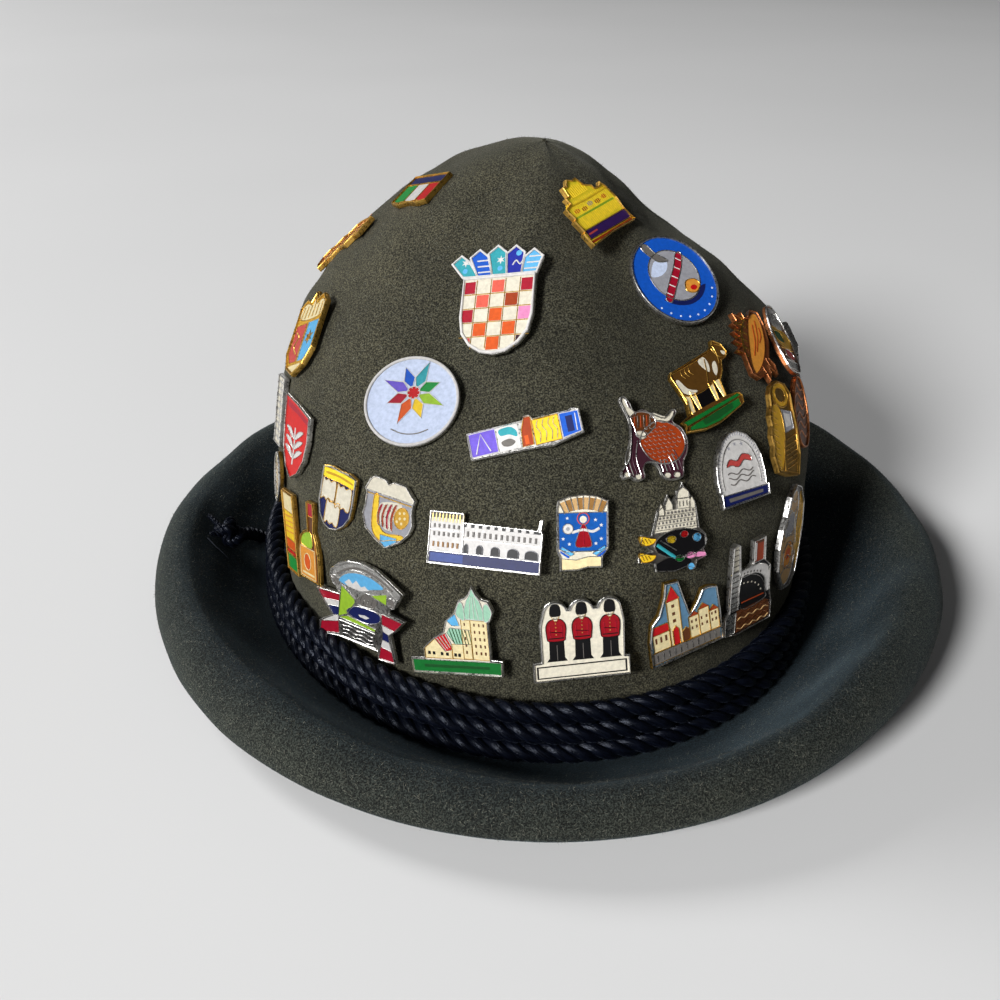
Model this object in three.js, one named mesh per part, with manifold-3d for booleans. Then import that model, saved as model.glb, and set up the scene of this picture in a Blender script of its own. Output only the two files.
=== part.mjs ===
// A tyrolean hat of felt, with a twisted cord wound round its crown and enamel pins on it.
// Millimetres, +Z up. The front of the hat faces -Y. It rests on the felt round its head opening at z = 0.
// The origin is on the rest plane, at the middle of the brim's width and length.
import * as THREE from 'three';
import { mergeVertices } from 'three/addons/utils/BufferGeometryUtils.js';
import Module from 'manifold-3d';

// Felt body
const FELT_THICKNESS = 2.2;
const CROWN_HALF_WIDTH = 86.5;
const CROWN_HALF_LENGTH = 100;
const CROWN_HEIGHT = 146.5;
const PEAK_LEAN = 4;
const DENT_DEPTH = 10;
const BRIM_OVERHANG = 50;
const BRIM_RISE = 20;
const LIP_WIDTH = 10;
const LIP_DROP = 10;
const EDGE_ROUNDING = 0.9;
const INNER_CORNER = 0.8;
const FELT_SEGMENTS = 48;

// Cord band and its knot
const CORD_RADIUS = 3.1;
const CORD_GAP = 0.35;
const CORD_TURN_GAP = 0.3;
const CORD_ROW_SPREAD = 0.6;
const CORD_TURNS = 3;
const CORD_STEPS_PER_TURN = 44;
const CORD_STEP_ANGLE = -126;
const CORD_STEP_SPAN = 30;
const KNOT_RADIUS = 1.55;
const KNOT_SIZE = 1.3;
const KNOT_RISE = 1.8;
const KNOT_LIFT = 0.5;
const KNOT_ANGLE = -95;
const KNOT_PLACE = 3.65;
const NECK_RADIUS = 2.3;
const NECK_LIFT = 1.2;
const NECK_ARCH = 1.6;
const NECK_ANGLE = -100;

// Pins
const PIN_SIZE = 20;
const PLATE_MARGIN = 0.6;
const PLATE_THICKNESS = 1.8;
const PLATE_GAP = 0.5;
const POST_RADIUS = 0.6;
const POST_CLEARANCE = 0.35;
const CLUTCH_RADIUS = 4.2;
const CLUTCH_THICKNESS = 2.4;
const CLUTCH_GAP = 0.8;

// Crown sections from the brim to the peak, as shares of the crown's height, its half width, its half length
// to the front and to the back, and the peak's lean.
const CROWN_SECTIONS = [
  { height: 0.0, width: 1.0, front: 1.0, back: 1.0, lean: 0 },
  { height: 0.15, width: 1.01, front: 0.985, back: 0.985, lean: 0.25 },
  { height: 0.3, width: 1.005, front: 0.955, back: 0.96, lean: 0.375 },
  { height: 0.45, width: 0.985, front: 0.885, back: 0.935, lean: 0.625 },
  { height: 0.58, width: 0.925, front: 0.765, back: 0.885, lean: 0.5 },
  { height: 0.7, width: 0.785, front: 0.59, back: 0.8, lean: 0.125 },
  { height: 0.8, width: 0.62, front: 0.43, back: 0.7, lean: 0 },
  { height: 0.9, width: 0.39, front: 0.25, back: 0.545, lean: -0.125 },
  { height: 0.965, width: 0.195, front: 0.09, back: 0.37, lean: 0.25 },
  { height: 1.0, width: 0.0, front: -0.12, back: 0.12, lean: 1 },
];

// Soft dents in the crown: angle from the front, share of the height, spread in degrees and in height,
// and share of the dent depth.
const DENTS = [
  { angle: -30, height: 0.7, spread: 20, tall: 0.24, depth: 0.8 },
  { angle: 28, height: 0.76, spread: 20, tall: 0.24, depth: 0.9 },
  { angle: 90, height: 0.84, spread: 34, tall: 0.12, depth: 1.1 },
];

// The brim every 45 degrees from the back, round by the viewer's left, the front and the right,
// as shares of its overhang, its rise, and its lip's width and drop.
const BRIM_SECTIONS = [
  { angle: -180, overhang: 0.94, rise: 0.925, lip: 0.65, drop: 0.6 },
  { angle: -135, overhang: 0.88, rise: 0.75, lip: 0.75, drop: 0.75 },
  { angle: -90, overhang: 0.87, rise: 0.975, lip: 0.9, drop: 1.05 },
  { angle: -45, overhang: 0.86, rise: 0.975, lip: 1.2, drop: 1.1 },
  { angle: 0, overhang: 0.82, rise: 0.85, lip: 0.85, drop: 0.85 },
  { angle: 45, overhang: 0.91, rise: 1.2, lip: 1, drop: 1.05 },
  { angle: 90, overhang: 1.03, rise: 0.975, lip: 0.75, drop: 0.8 },
  { angle: 135, overhang: 1.02, rise: 1, lip: 0.65, drop: 0.6 },
];

// The dish of the brim from the crown to its crest, as shares of the way out and of the rise.
const DISH = [
  { out: 0.0, up: 0.0 },
  { out: 0.1, up: 0.0 },
  { out: 0.3, up: 0.06 },
  { out: 0.52, up: 0.3 },
  { out: 0.74, up: 0.68 },
  { out: 0.9, up: 0.93 },
  { out: 1.0, up: 1.0 },
];
const CREST = DISH.length - 1;
const LIP_END = CREST + 3;

// The felt's rings of vertices: crown sections down from the peak, then dish rows out to the edge.
const CROWN_RINGS = [8.5, 8, 7.4, 6.8, 6.2, 5.6, 5, 4.4, 3.8, 3.2, 2.6, 2, 1.3, 0.7, 0.14];
const BRIM_RINGS = [1, 2, 3, 4, 5, 6, 7, 8, 9];

// The pins: name and outline, then the place on the crown (degrees from the front, and crown section),
// the turn in degrees, the plate's width and height as shares of the pin size, and its colour.
const PIN_COLUMNS = ['name', 'outline', 'angle', 'ring', 'turn', 'width', 'height', 'colour'];
const PINS = [
  ['pin_flag', 'panel', -81.1, 6.98, 29.5, 0.9, 0.7, 0xb8323a],
  ['pin_feather', 'leaf', -96.1, 5.7, -17.7, 0.65, 1.5, 0xb5562a],
  ['pin_tall_crest', 'shield', -77, 4.5, 33, 0.9, 1.45, 0xb99a4a],
  ['pin_silver_bar', 'panel', -80.9, 3.21, 15.1, 0.6, 1.1, 0xb9b9b4],
  ['pin_red_shield', 'shield', -68, 3.21, 10.7, 0.95, 1.275, 0xc92a22],
  ['pin_pale_oval', 'oval', -79.5, 2.25, 4, 0.5, 0.85, 0xcfc8a0],
  ['pin_striped_strip', 'panel', -69, 1.8, 14, 0.55, 1.3, 0xd8a92c],
  ['pin_bottle', 'bottle', -60.4, 2.02, 11.8, 0.6, 1.3, 0xb9722a],
  ['pin_gate_shield', 'shield', -52.2, 2.79, 2, 0.75, 0.91, 0xd9b52c],
  ['pin_boat_shield', 'shield', -40.1, 2.86, -1.6, 0.9, 0.92, 0x9aa1a8],
  ['pin_lake_badge', 'badge', -45.3, 1.53, 6, 1.65, 1.45, 0x5f8f3a],
  ['pin_chequered_shield', 'crest', -20.7, 5.72, 10.6, 1.4, 1.725, 0xc83a34],
  ['pin_round_star', 'oval', -38.4, 4.22, 8.9, 1.4, 1.35, 0xc9d4ea],
  ['pin_block_bar', 'panel', -12.7, 4.09, 21.4, 1.55, 0.38, 0x6c5cc4],
  ['pin_gold_castle', 'castle', 21.3, 6.89, 4.6, 1.18, 1, 0xd6a72a],
  ['pin_round_blue', 'oval', 41.2, 5.65, 7.1, 1.45, 1.48, 0x2454b4],
  ['pin_shaggy_cow', 'beast', 11.5, 4, -6.6, 1.05, 1.2, 0xa33a1c],
  ['pin_meadow_cow', 'beast', 30.6, 4.27, 6.7, 1.35, 1.05, 0x7a4a24],
  ['pin_stag', 'leaf', 51.5, 4.54, -45, 0.9, 1.35, 0x9c5520],
  ['pin_silver_leaf', 'leaf', 64.7, 4.32, -45, 0.65, 1.35, 0xb4aca0],
  ['pin_dark_panel', 'panel', 85.8, 3.63, 28.4, 0.55, 0.7, 0x6a5a58],
  ['pin_white_arch', 'arch', 30.7, 3.32, -4.2, 1, 1, 0xd8d2d8],
  ['pin_gold_figure', 'bottle', 47, 3.47, -27, 0.72, 1.42, 0xb08c3c],
  ['pin_brown_scroll', 'leaf', 56.5, 3.47, -34, 0.6, 1.1, 0x8a5a3c],
  ['pin_rough_map', 'leaf', 46.3, 2.05, -13.3, 0.95, 1.56, 0x9a9088],
  ['pin_ship', 'ship', 31.4, 1.88, -5.6, 1.1, 1.45, 0x23211f],
  ['pin_chateau', 'panel', -20.5, 2.81, 3.1, 1.57, 0.75, 0xd9d3c2],
  ['pin_crowned_shield', 'crest', -3.3, 2.99, 0.2, 0.69, 1, 0x2a62ac],
  ['pin_domed_church', 'spire', 12.8, 2.9, -5.1, 1.06, 1.19, 0xcdc9bc],
  ['pin_green_spire', 'spire', -25.4, 1.64, 8.2, 1.36, 1.28, 0x2f9a4a],
  ['pin_three_guards', 'guards', -3.3, 1.74, 3.4, 1.31, 1.23, 0xe4dfd4],
  ['pin_old_town', 'castle', 15.7, 1.81, 6.3, 1.19, 1.23, 0x7fb0cc],
].map((row) => Object.fromEntries(row.map((value, k) => [PIN_COLUMNS[k], value])));

const radians = (degrees) => (degrees * Math.PI) / 180;

// A smooth curve through evenly spaced values, read at a place between them.
function smooth(values, place) {
  const last = values.length - 1;
  const index = Math.min(Math.max(Math.floor(place), 0), last - 1);
  const share = place - index;
  const at = (k) => {
    if (k < 0) return 2 * values[0] - values[1];
    if (k > last) return 2 * values[last] - values[last - 1];
    return values[k];
  };
  const [a, b, c, d] = [at(index - 1), at(index), at(index + 1), at(index + 2)];
  const second = 2 * a - 5 * b + 4 * c - d;
  const third = 3 * b - a - 3 * c + d;
  return 0.5 * (2 * b + (c - a) * share + second * share ** 2 + third * share ** 3);
}

// The crown's columns, with one mirrored row past the peak so that the top is round.
const below = CROWN_SECTIONS[CROWN_SECTIONS.length - 2];
const crownColumns = {
  height: [...CROWN_SECTIONS.map((row) => row.height), below.height],
  width: [...CROWN_SECTIONS.map((row) => row.width), -below.width],
  length: [...CROWN_SECTIONS.map((row) => (row.front + row.back) / 2), -(below.front + below.back) / 2],
  setback: [...CROWN_SECTIONS.map((row) => (row.back - row.front) / 2), (below.back - below.front) / 2],
  lean: [...CROWN_SECTIONS.map((row) => row.lean), 2 * CROWN_SECTIONS.at(-1).lean - below.lean],
};
const PEAK = CROWN_SECTIONS.length - 1;

function dentDepth(angle, height) {
  let depth = 0;
  for (const dent of DENTS) {
    const across = ((((angle - dent.angle + 180) % 360) + 360) % 360) - 180;
    const upward = height - dent.height;
    depth += dent.depth * DENT_DEPTH * Math.exp(-((across / dent.spread) ** 2) - (upward / dent.tall) ** 2);
  }
  return depth;
}

// A point of the crown's outside: angle from the front in degrees, ring counted in sections from the brim.
function crownPoint(angle, ring) {
  const height = smooth(crownColumns.height, ring);
  const halfWidth = smooth(crownColumns.width, ring) * CROWN_HALF_WIDTH;
  const halfLength = smooth(crownColumns.length, ring) * CROWN_HALF_LENGTH;
  const setback = smooth(crownColumns.setback, ring) * CROWN_HALF_LENGTH;
  let x = halfWidth * Math.sin(radians(angle));
  let y = -halfLength * Math.cos(radians(angle));
  const reach = Math.hypot(x, y) + 1e-9;
  const keep = Math.min(Math.max(1 - dentDepth(angle, height) / reach, 0.05), 1);
  x = x * keep + PEAK_LEAN * smooth(crownColumns.lean, ring);
  y = y * keep + setback;
  return new THREE.Vector3(x, y, height * CROWN_HEIGHT + FELT_THICKNESS * (1 - height));
}

// The crown's oval at the brim, and the level direction straight out from it.
function ovalPoint(angle) {
  const turn = radians(angle);
  return new THREE.Vector3(CROWN_HALF_WIDTH * Math.sin(turn), -CROWN_HALF_LENGTH * Math.cos(turn), 0);
}

function ovalOutward(angle) {
  const turn = radians(angle);
  const [x, y] = [CROWN_HALF_LENGTH * Math.sin(turn), -CROWN_HALF_WIDTH * Math.cos(turn)];
  return new THREE.Vector3(x, y, 0).normalize();
}

// A column of the brim table at an angle, smooth all the way round.
const BRIM_SIZES = { overhang: BRIM_OVERHANG, rise: BRIM_RISE, lip: LIP_WIDTH, drop: LIP_DROP };

function brimValue(column, angle) {
  const count = BRIM_SECTIONS.length;
  const place = (((angle + 180) % 360) + 360) % 360 / (360 / count);
  const index = Math.floor(place);
  const values = [-1, 0, 1, 2].map((k) => BRIM_SECTIONS[(index + k + count) % count][column]);
  return BRIM_SIZES[column] * smooth(values, 1 + place - index);
}

// A point of the brim's top: place 0 at the crown, CREST at the crest, LIP_END at the felt's edge.
function brimPoint(angle, place) {
  const lip = brimValue('lip', angle);
  const dish = Math.min(place, CREST);
  const roll = (Math.max(place - CREST, 0) / (LIP_END - CREST)) * (Math.PI / 2);
  const outShare = smooth(DISH.map((row) => row.out), dish);
  const upShare = Math.max(smooth(DISH.map((row) => row.up), dish), 0);
  const out = outShare * (brimValue('overhang', angle) - lip) + lip * Math.sin(roll);
  const up = upShare * brimValue('rise', angle) - brimValue('drop', angle) * (1 - Math.cos(roll));
  const point = ovalPoint(angle).addScaledVector(ovalOutward(angle), out);
  point.z = FELT_THICKNESS + up;
  return point;
}

// The outward normal of a surface, by small steps along it.
function normalOf(surface, angle, place) {
  const around = surface(angle + 0.2, place).sub(surface(angle - 0.2, place));
  const along = surface(angle, place + 0.01).sub(surface(angle, place - 0.01));
  return around.cross(along).normalize();
}

function crownNormal(angle, ring) {
  return normalOf(crownPoint, angle, Math.min(ring, PEAK - 0.2));
}

function brimNormal(angle, place) {
  return normalOf(brimPoint, angle, Math.min(Math.max(place, 0.02), LIP_END - 0.02)).negate();
}

// A closed mesh from a stack of rings between two end points.
function stackGeometry(start, rings, end) {
  const points = [start, ...rings.flat(), end];
  const around = rings[0].length;
  const faces = [];
  const vertex = (ring, k) => 1 + ring * around + (k % around);
  for (let k = 0; k < around; k += 1) {
    faces.push(0, vertex(0, k), vertex(0, k + 1));
    faces.push(points.length - 1, vertex(rings.length - 1, k + 1), vertex(rings.length - 1, k));
    for (let ring = 0; ring + 1 < rings.length; ring += 1) {
      faces.push(vertex(ring, k), vertex(ring + 1, k), vertex(ring + 1, k + 1));
      faces.push(vertex(ring, k), vertex(ring + 1, k + 1), vertex(ring, k + 1));
    }
  }
  let volume = 0;
  for (let f = 0; f < faces.length; f += 3) {
    const [a, b, c] = [points[faces[f]], points[faces[f + 1]], points[faces[f + 2]]];
    volume += a.dot(b.clone().cross(c));
  }
  if (volume < 0) faces.reverse();
  const geometry = new THREE.BufferGeometry();
  const positions = points.flatMap((point) => point.toArray());
  geometry.setAttribute('position', new THREE.Float32BufferAttribute(positions, 3));
  geometry.setIndex(faces);
  return geometry;
}

const wasm = await Module();
wasm.setup();

function toSolid(geometry) {
  const bare = geometry.clone();
  bare.deleteAttribute('normal');
  bare.deleteAttribute('uv');
  const merged = mergeVertices(bare, 1e-4);
  return new wasm.Manifold(new wasm.Mesh({
    numProp: 3,
    vertProperties: new Float32Array(merged.attributes.position.array),
    triVerts: new Uint32Array(merged.index.array),
  }));
}

function toGeometry(solid) {
  const mesh = solid.getMesh();
  const geometry = new THREE.BufferGeometry();
  const positions = [];
  for (let k = 0; k < mesh.vertProperties.length; k += mesh.numProp) {
    positions.push(mesh.vertProperties[k], mesh.vertProperties[k + 1], mesh.vertProperties[k + 2]);
  }
  geometry.setAttribute('position', new THREE.Float32BufferAttribute(positions, 3));
  geometry.setIndex([...mesh.triVerts]);
  return geometry;
}

// Felt body: its outside from the peak down the crown and out over the brim, then its inside back up.
function feltGeometry() {
  const angles = Array.from({ length: FELT_SEGMENTS }, (_, k) => -180 + (360 * k) / FELT_SEGMENTS);
  const inside = (point, normal) => point.addScaledVector(normal, -FELT_THICKNESS);
  const outerCrown = CROWN_RINGS.map((ring) => angles.map((angle) => crownPoint(angle, ring)));
  const corner = angles.map((angle) => brimPoint(angle, 0));
  const outerBrim = BRIM_RINGS.map((place) => angles.map((angle) => brimPoint(angle, place)));
  const innerBrim = BRIM_RINGS.map((place) => angles.map((angle) => {
    const point = inside(brimPoint(angle, place), brimNormal(angle, place));
    point.z = place <= 1 ? 0 : Math.max(point.z, 0);
    return point;
  }));
  const edge = angles.map((angle, k) => {
    const middle = outerBrim.at(-1)[k].clone().add(innerBrim.at(-1)[k]).multiplyScalar(0.5);
    middle.z -= EDGE_ROUNDING;
    return middle;
  });
  const innerCorner = angles.map((angle) => (
    ovalPoint(angle).addScaledVector(ovalOutward(angle), -INNER_CORNER)));
  const innerCrown = CROWN_RINGS.map((ring) => angles.map((angle) => (
    inside(crownPoint(angle, ring), crownNormal(angle, ring)))));
  const outer = [...outerCrown, corner, ...outerBrim, edge];
  const rings = [...outer, ...innerBrim.reverse(), innerCorner, ...innerCrown.reverse()];
  const peak = crownPoint(0, PEAK);
  const hollowPeak = peak.clone().setZ(peak.z - FELT_THICKNESS);
  return stackGeometry(peak, rings, hollowPeak);
}

// How far one turn of the cord lies above the one below it, a little further in.
const CORD_ROW_RISE = Math.sqrt((2 * CORD_RADIUS + CORD_TURN_GAP) ** 2 - CORD_ROW_SPREAD ** 2);

// The cord's centre line: its height above the rest, then out from the crown there.
function cordPoint(angle, row) {
  const z = FELT_THICKNESS + CORD_GAP + CORD_RADIUS + row * CORD_ROW_RISE;
  const ring = Math.max(z - FELT_THICKNESS, 0) / (CROWN_HEIGHT - FELT_THICKNESS) / CROWN_SECTIONS[1].height;
  const wall = crownPoint(angle, ring);
  const swell = Math.max(Math.hypot(wall.x, wall.y) - Math.hypot(ovalPoint(angle).x, ovalPoint(angle).y), 0);
  const out = swell + CORD_RADIUS + CORD_GAP + CORD_ROW_SPREAD * (CORD_TURNS - 1 - row);
  const point = ovalPoint(angle).addScaledVector(ovalOutward(angle), out);
  point.z = z;
  return point;
}

// The cord climbs one row each time it passes the step angle at the back left.
class CordPath extends THREE.Curve {
  getPoint(share, target = new THREE.Vector3()) {
    const first = CORD_STEP_SPAN;
    const last = 360 * CORD_TURNS - CORD_STEP_SPAN;
    const turned = first + (last - first) * share;
    let row = 0;
    for (let turn = 1; turn < CORD_TURNS; turn += 1) {
      row += THREE.MathUtils.smoothstep(turned, 360 * turn - CORD_STEP_SPAN, 360 * turn + CORD_STEP_SPAN);
    }
    return target.copy(cordPoint(CORD_STEP_ANGLE + turned, row));
  }
}

function roundSection(radius, sides) {
  const section = new THREE.Shape();
  for (let k = 0; k < sides; k += 1) {
    const turn = (2 * Math.PI * k) / sides;
    const [x, y] = [radius * Math.cos(turn), radius * Math.sin(turn)];
    if (k === 0) section.moveTo(x, y);
    else section.lineTo(x, y);
  }
  section.closePath();
  return section;
}

function cordGeometry() {
  const steps = Math.round(CORD_STEPS_PER_TURN * CORD_TURNS);
  return new THREE.ExtrudeGeometry(roundSection(CORD_RADIUS, 6), { steps, extrudePath: new CordPath() });
}

// The frame of the knot: flat on the brim's dish, at its own angle.
function knotFrame() {
  const normal = brimNormal(KNOT_ANGLE, KNOT_PLACE);
  const across = new THREE.Vector3(0, 0, 1).cross(normal).normalize();
  const outward = across.clone().cross(normal).negate();
  const lift = KNOT_RISE + KNOT_RADIUS + CORD_GAP + KNOT_LIFT;
  const origin = brimPoint(KNOT_ANGLE, KNOT_PLACE).addScaledVector(normal, lift);
  return new THREE.Matrix4().makeBasis(outward, normal.clone().cross(outward), normal).setPosition(origin);
}

class LoopPath extends THREE.Curve {
  constructor(frame) {
    super();
    this.frame = frame;
  }

  getPoint(share, target = new THREE.Vector3()) {
    const t = 2 * Math.PI * share;
    target.set(
      KNOT_SIZE * (Math.sin(t) + 2 * Math.sin(2 * t)),
      KNOT_SIZE * (Math.cos(t) - 2 * Math.cos(2 * t)),
      -KNOT_RISE * Math.sin(3 * t));
    return target.applyMatrix4(this.frame);
  }
}

// The knot: three crossing loops of thinner cord, and a short wrapped neck that comes from the band.
function knotGeometry() {
  const frame = knotFrame();
  const steps = 36;
  const sides = 6;
  const path = new LoopPath(frame);
  const frames = path.computeFrenetFrames(steps, true);
  const positions = [];
  const faces = [];
  for (let k = 0; k < steps; k += 1) {
    const centre = path.getPointAt(k / steps);
    for (let s = 0; s < sides; s += 1) {
      const turn = (2 * Math.PI * s) / sides;
      const point = centre.clone()
        .addScaledVector(frames.normals[k], KNOT_RADIUS * Math.cos(turn))
        .addScaledVector(frames.binormals[k], KNOT_RADIUS * Math.sin(turn));
      positions.push(...point.toArray());
      const [a, b] = [k * sides + s, k * sides + ((s + 1) % sides)];
      const [c, d] = [((k + 1) % steps) * sides + s, ((k + 1) % steps) * sides + ((s + 1) % sides)];
      faces.push(a, b, d, a, d, c);
    }
  }
  const loops = new THREE.BufferGeometry();
  loops.setAttribute('position', new THREE.Float32BufferAttribute(positions, 3));
  loops.setIndex(faces);
  const clear = CORD_RADIUS + NECK_RADIUS + CORD_GAP;
  const start = cordPoint(NECK_ANGLE, 0).addScaledVector(ovalOutward(NECK_ANGLE), clear);
  start.z += NECK_LIFT;
  const end = new THREE.Vector3(-KNOT_SIZE * 2.2, 0, 0).applyMatrix4(frame);
  const middle = start.clone().add(end).multiplyScalar(0.5);
  middle.z += NECK_ARCH;
  const neck = new THREE.ExtrudeGeometry(roundSection(NECK_RADIUS, 8), {
    steps: 4,
    extrudePath: new THREE.CatmullRomCurve3([start, middle, end]),
  });
  return toGeometry(toSolid(loops).add(toSolid(neck)));
}

// Outlines of the pins, each in a box from -1 to 1, taken anticlockwise.
function arc(fromAngle, toAngle, count, radius = 1, rise = 0) {
  return Array.from({ length: count }, (_, k) => {
    const turn = radians(fromAngle + ((toAngle - fromAngle) * k) / (count - 1));
    return [radius * Math.cos(turn), rise + radius * Math.sin(turn)];
  });
}

const OUTLINES = {
  panel: [[-1, -1], [1, -1], [1, 1], [-1, 1]],
  oval: arc(0, 337.5, 16),
  shield: [[0, -1], [0.62, -0.68], [0.95, -0.1], [1, 1], [-1, 1], [-0.95, -0.1], [-0.62, -0.68]],
  leaf: [[0.1, -1], [0.7, -0.6], [1, 0.1], [0.6, 0.75], [0, 1], [-0.7, 0.6], [-1, -0.1], [-0.6, -0.75]],
  bottle: [[-1, -1], [1, -1], [1, 0.05], [0.4, 0.4], [0.4, 1], [-0.4, 1], [-0.4, 0.4], [-1, 0.05]],
  arch: [[-0.9, -1], [0.9, -1], ...arc(0, 180, 7, 0.9, 0.1)],
  crest: [[0, -1], [0.6, -0.75], [0.85, -0.35], [0.85, 0.5], [1, 0.85], [0.5, 1], [-0.5, 1], [-1, 0.85],
    [-0.85, 0.5], [-0.85, -0.35], [-0.6, -0.75]],
  badge: [[-0.95, -0.6], [-0.5, -0.5], [0, -0.72], [0.5, -0.5], [0.75, -1], [0.95, -0.45], [0.55, 0.1],
    [0.9, 0.35], [0.6, 0.8], [0, 1], [-0.6, 0.8], [-0.9, 0.35], [-0.55, 0.1], [-1, 0]],
  castle: [[-1, -1], [1, -1], [1, 0.75], [0.7, 0.8], [0.3, 0.1], [0.05, 0.1], [-0.2, 1], [-0.6, 1],
    [-0.75, 0.1], [-1, 0.1]],
  beast: [[-0.9, -1], [0.9, -1], [1, 0.2], [0.6, 0.5], [0.9, 0.8], [0.5, 1], [-0.2, 0.6], [-1, 0.3]],
  ship: [[-1, -1], [0.9, -0.85], [1, 0], [0.75, 0.45], [0.7, 1], [0.25, 0.95], [0, 0.35], [-0.3, 0.6],
    [-0.45, 0.4]],
  spire: [[-1, -1], [1, -1], [1, -0.6], [0.55, -0.4], [0.45, 0.35], [0.15, 0.95], [0, 1], [-0.3, 0.2],
    [-0.8, -0.3]],
  guards: [[-1, -1], [1, -1], [1, -0.65], [0.9, -0.6], [0.85, 0.75], [0.6, 1], [0.35, 0.7], [0, 0.98],
    [-0.35, 0.7], [-0.6, 0.95], [-0.85, 0.65], [-0.9, -0.6], [-1, -0.65]],
};

// The frame of a pin: its origin on the felt's outside, z straight out from the felt, y up the crown.
function pinFrame(pin) {
  const origin = crownPoint(pin.angle, pin.ring);
  const normal = crownNormal(pin.angle, pin.ring);
  const up = new THREE.Vector3(0, 0, 1).addScaledVector(normal, -normal.z).normalize();
  const right = up.clone().cross(normal);
  const turn = radians(pin.turn);
  const x = right.clone().multiplyScalar(Math.cos(turn)).addScaledVector(up, Math.sin(turn));
  return new THREE.Matrix4().makeBasis(x, normal.clone().cross(x), normal).setPosition(origin);
}

// How far the felt rises and falls, in the pin's frame, under its plate and over its clutch.
function feltUnder(pin, frame) {
  const toPin = frame.clone().invert();
  const [halfWidth, halfHeight] = [(pin.width * PIN_SIZE) / 2, (pin.height * PIN_SIZE) / 2];
  const found = { highest: 0, lowest: 0 };
  for (let turn = -40; turn <= 40; turn += 1.5) {
    for (let step = -2.6; step <= 2.6; step += 0.1) {
      const ring = Math.min(pin.ring + step, PEAK);
      if (ring < 0) continue;
      const point = crownPoint(pin.angle + turn, ring).applyMatrix4(toPin);
      if (point.z < -CROWN_HALF_WIDTH / 3) continue;
      if (Math.abs(point.x) < halfWidth + PLATE_MARGIN && Math.abs(point.y) < halfHeight + PLATE_MARGIN) {
        found.highest = Math.max(found.highest, point.z);
      }
      if (Math.hypot(point.x, point.y) < CLUTCH_RADIUS + PLATE_MARGIN) {
        found.lowest = Math.min(found.lowest, point.z);
      }
    }
  }
  return found;
}

// A pin in its own frame: the plate on the felt, and the post through it to a plain round clutch inside.
function pinGeometry(pin, frame) {
  const felt = feltUnder(pin, frame);
  const plateBack = felt.highest + PLATE_GAP;
  const clutchTop = felt.lowest - FELT_THICKNESS - CLUTCH_GAP;
  const [halfWidth, halfHeight] = [(pin.width * PIN_SIZE) / 2, (pin.height * PIN_SIZE) / 2];
  const points = OUTLINES[pin.outline].map(([x, y]) => new THREE.Vector2(x * halfWidth, y * halfHeight));
  const shape = new THREE.Shape(points);
  const plate = new THREE.ExtrudeGeometry(shape, { depth: PLATE_THICKNESS, bevelEnabled: false });
  plate.translate(0, 0, plateBack);
  const postTop = plateBack + PLATE_THICKNESS / 2;
  const postLength = postTop - clutchTop + CLUTCH_THICKNESS / 2;
  const post = new THREE.CylinderGeometry(POST_RADIUS, POST_RADIUS, postLength, 6).rotateX(Math.PI / 2);
  post.translate(0, 0, postTop - postLength / 2);
  const clutch = new THREE.CylinderGeometry(CLUTCH_RADIUS, CLUTCH_RADIUS, CLUTCH_THICKNESS, 9);
  clutch.rotateX(Math.PI / 2).translate(0, 0, clutchTop - CLUTCH_THICKNESS / 2);
  return toGeometry(toSolid(plate).add(toSolid(post)).add(toSolid(clutch)));
}

const feltMaterial = new THREE.MeshStandardMaterial({ color: 0x4a4b3c, roughness: 0.95, metalness: 0 });
const cordMaterial = new THREE.MeshStandardMaterial({ color: 0x1d222e, roughness: 0.6, metalness: 0 });
const group = new THREE.Group();

let feltSolid = toSolid(feltGeometry());
for (const pin of PINS) {
  const frame = pinFrame(pin);
  const holeRadius = POST_RADIUS + POST_CLEARANCE;
  const hole = new THREE.CylinderGeometry(holeRadius, holeRadius, 8 * FELT_THICKNESS, 6).rotateX(Math.PI / 2);
  feltSolid = feltSolid.subtract(toSolid(hole.applyMatrix4(frame)));
  const material = new THREE.MeshStandardMaterial({ color: pin.colour, roughness: 0.35, metalness: 0.3 });
  const mesh = new THREE.Mesh(pinGeometry(pin, frame), material);
  mesh.name = pin.name;
  frame.decompose(mesh.position, mesh.quaternion, mesh.scale);
  group.add(mesh);
}

const felt = new THREE.Mesh(toGeometry(feltSolid), feltMaterial);
felt.name = 'felt_body';
const cord = new THREE.Mesh(cordGeometry(), cordMaterial);
cord.name = 'cord_band';
const knot = new THREE.Mesh(knotGeometry(), cordMaterial.clone());
knot.name = 'cord_knot';
group.add(felt, cord, knot);
const middle = new THREE.Box3().setFromObject(felt).getCenter(new THREE.Vector3());
group.position.set(-middle.x, -middle.y, 0);

export default group;
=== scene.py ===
"""Looks of a tyrolean hat: wool felt, a twisted cord wound round the crown, its knot, and enamel pins.

Lengths are in millimetres in the hat's own frame until place() turns them into metres in the row frame.
"""
import math

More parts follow.
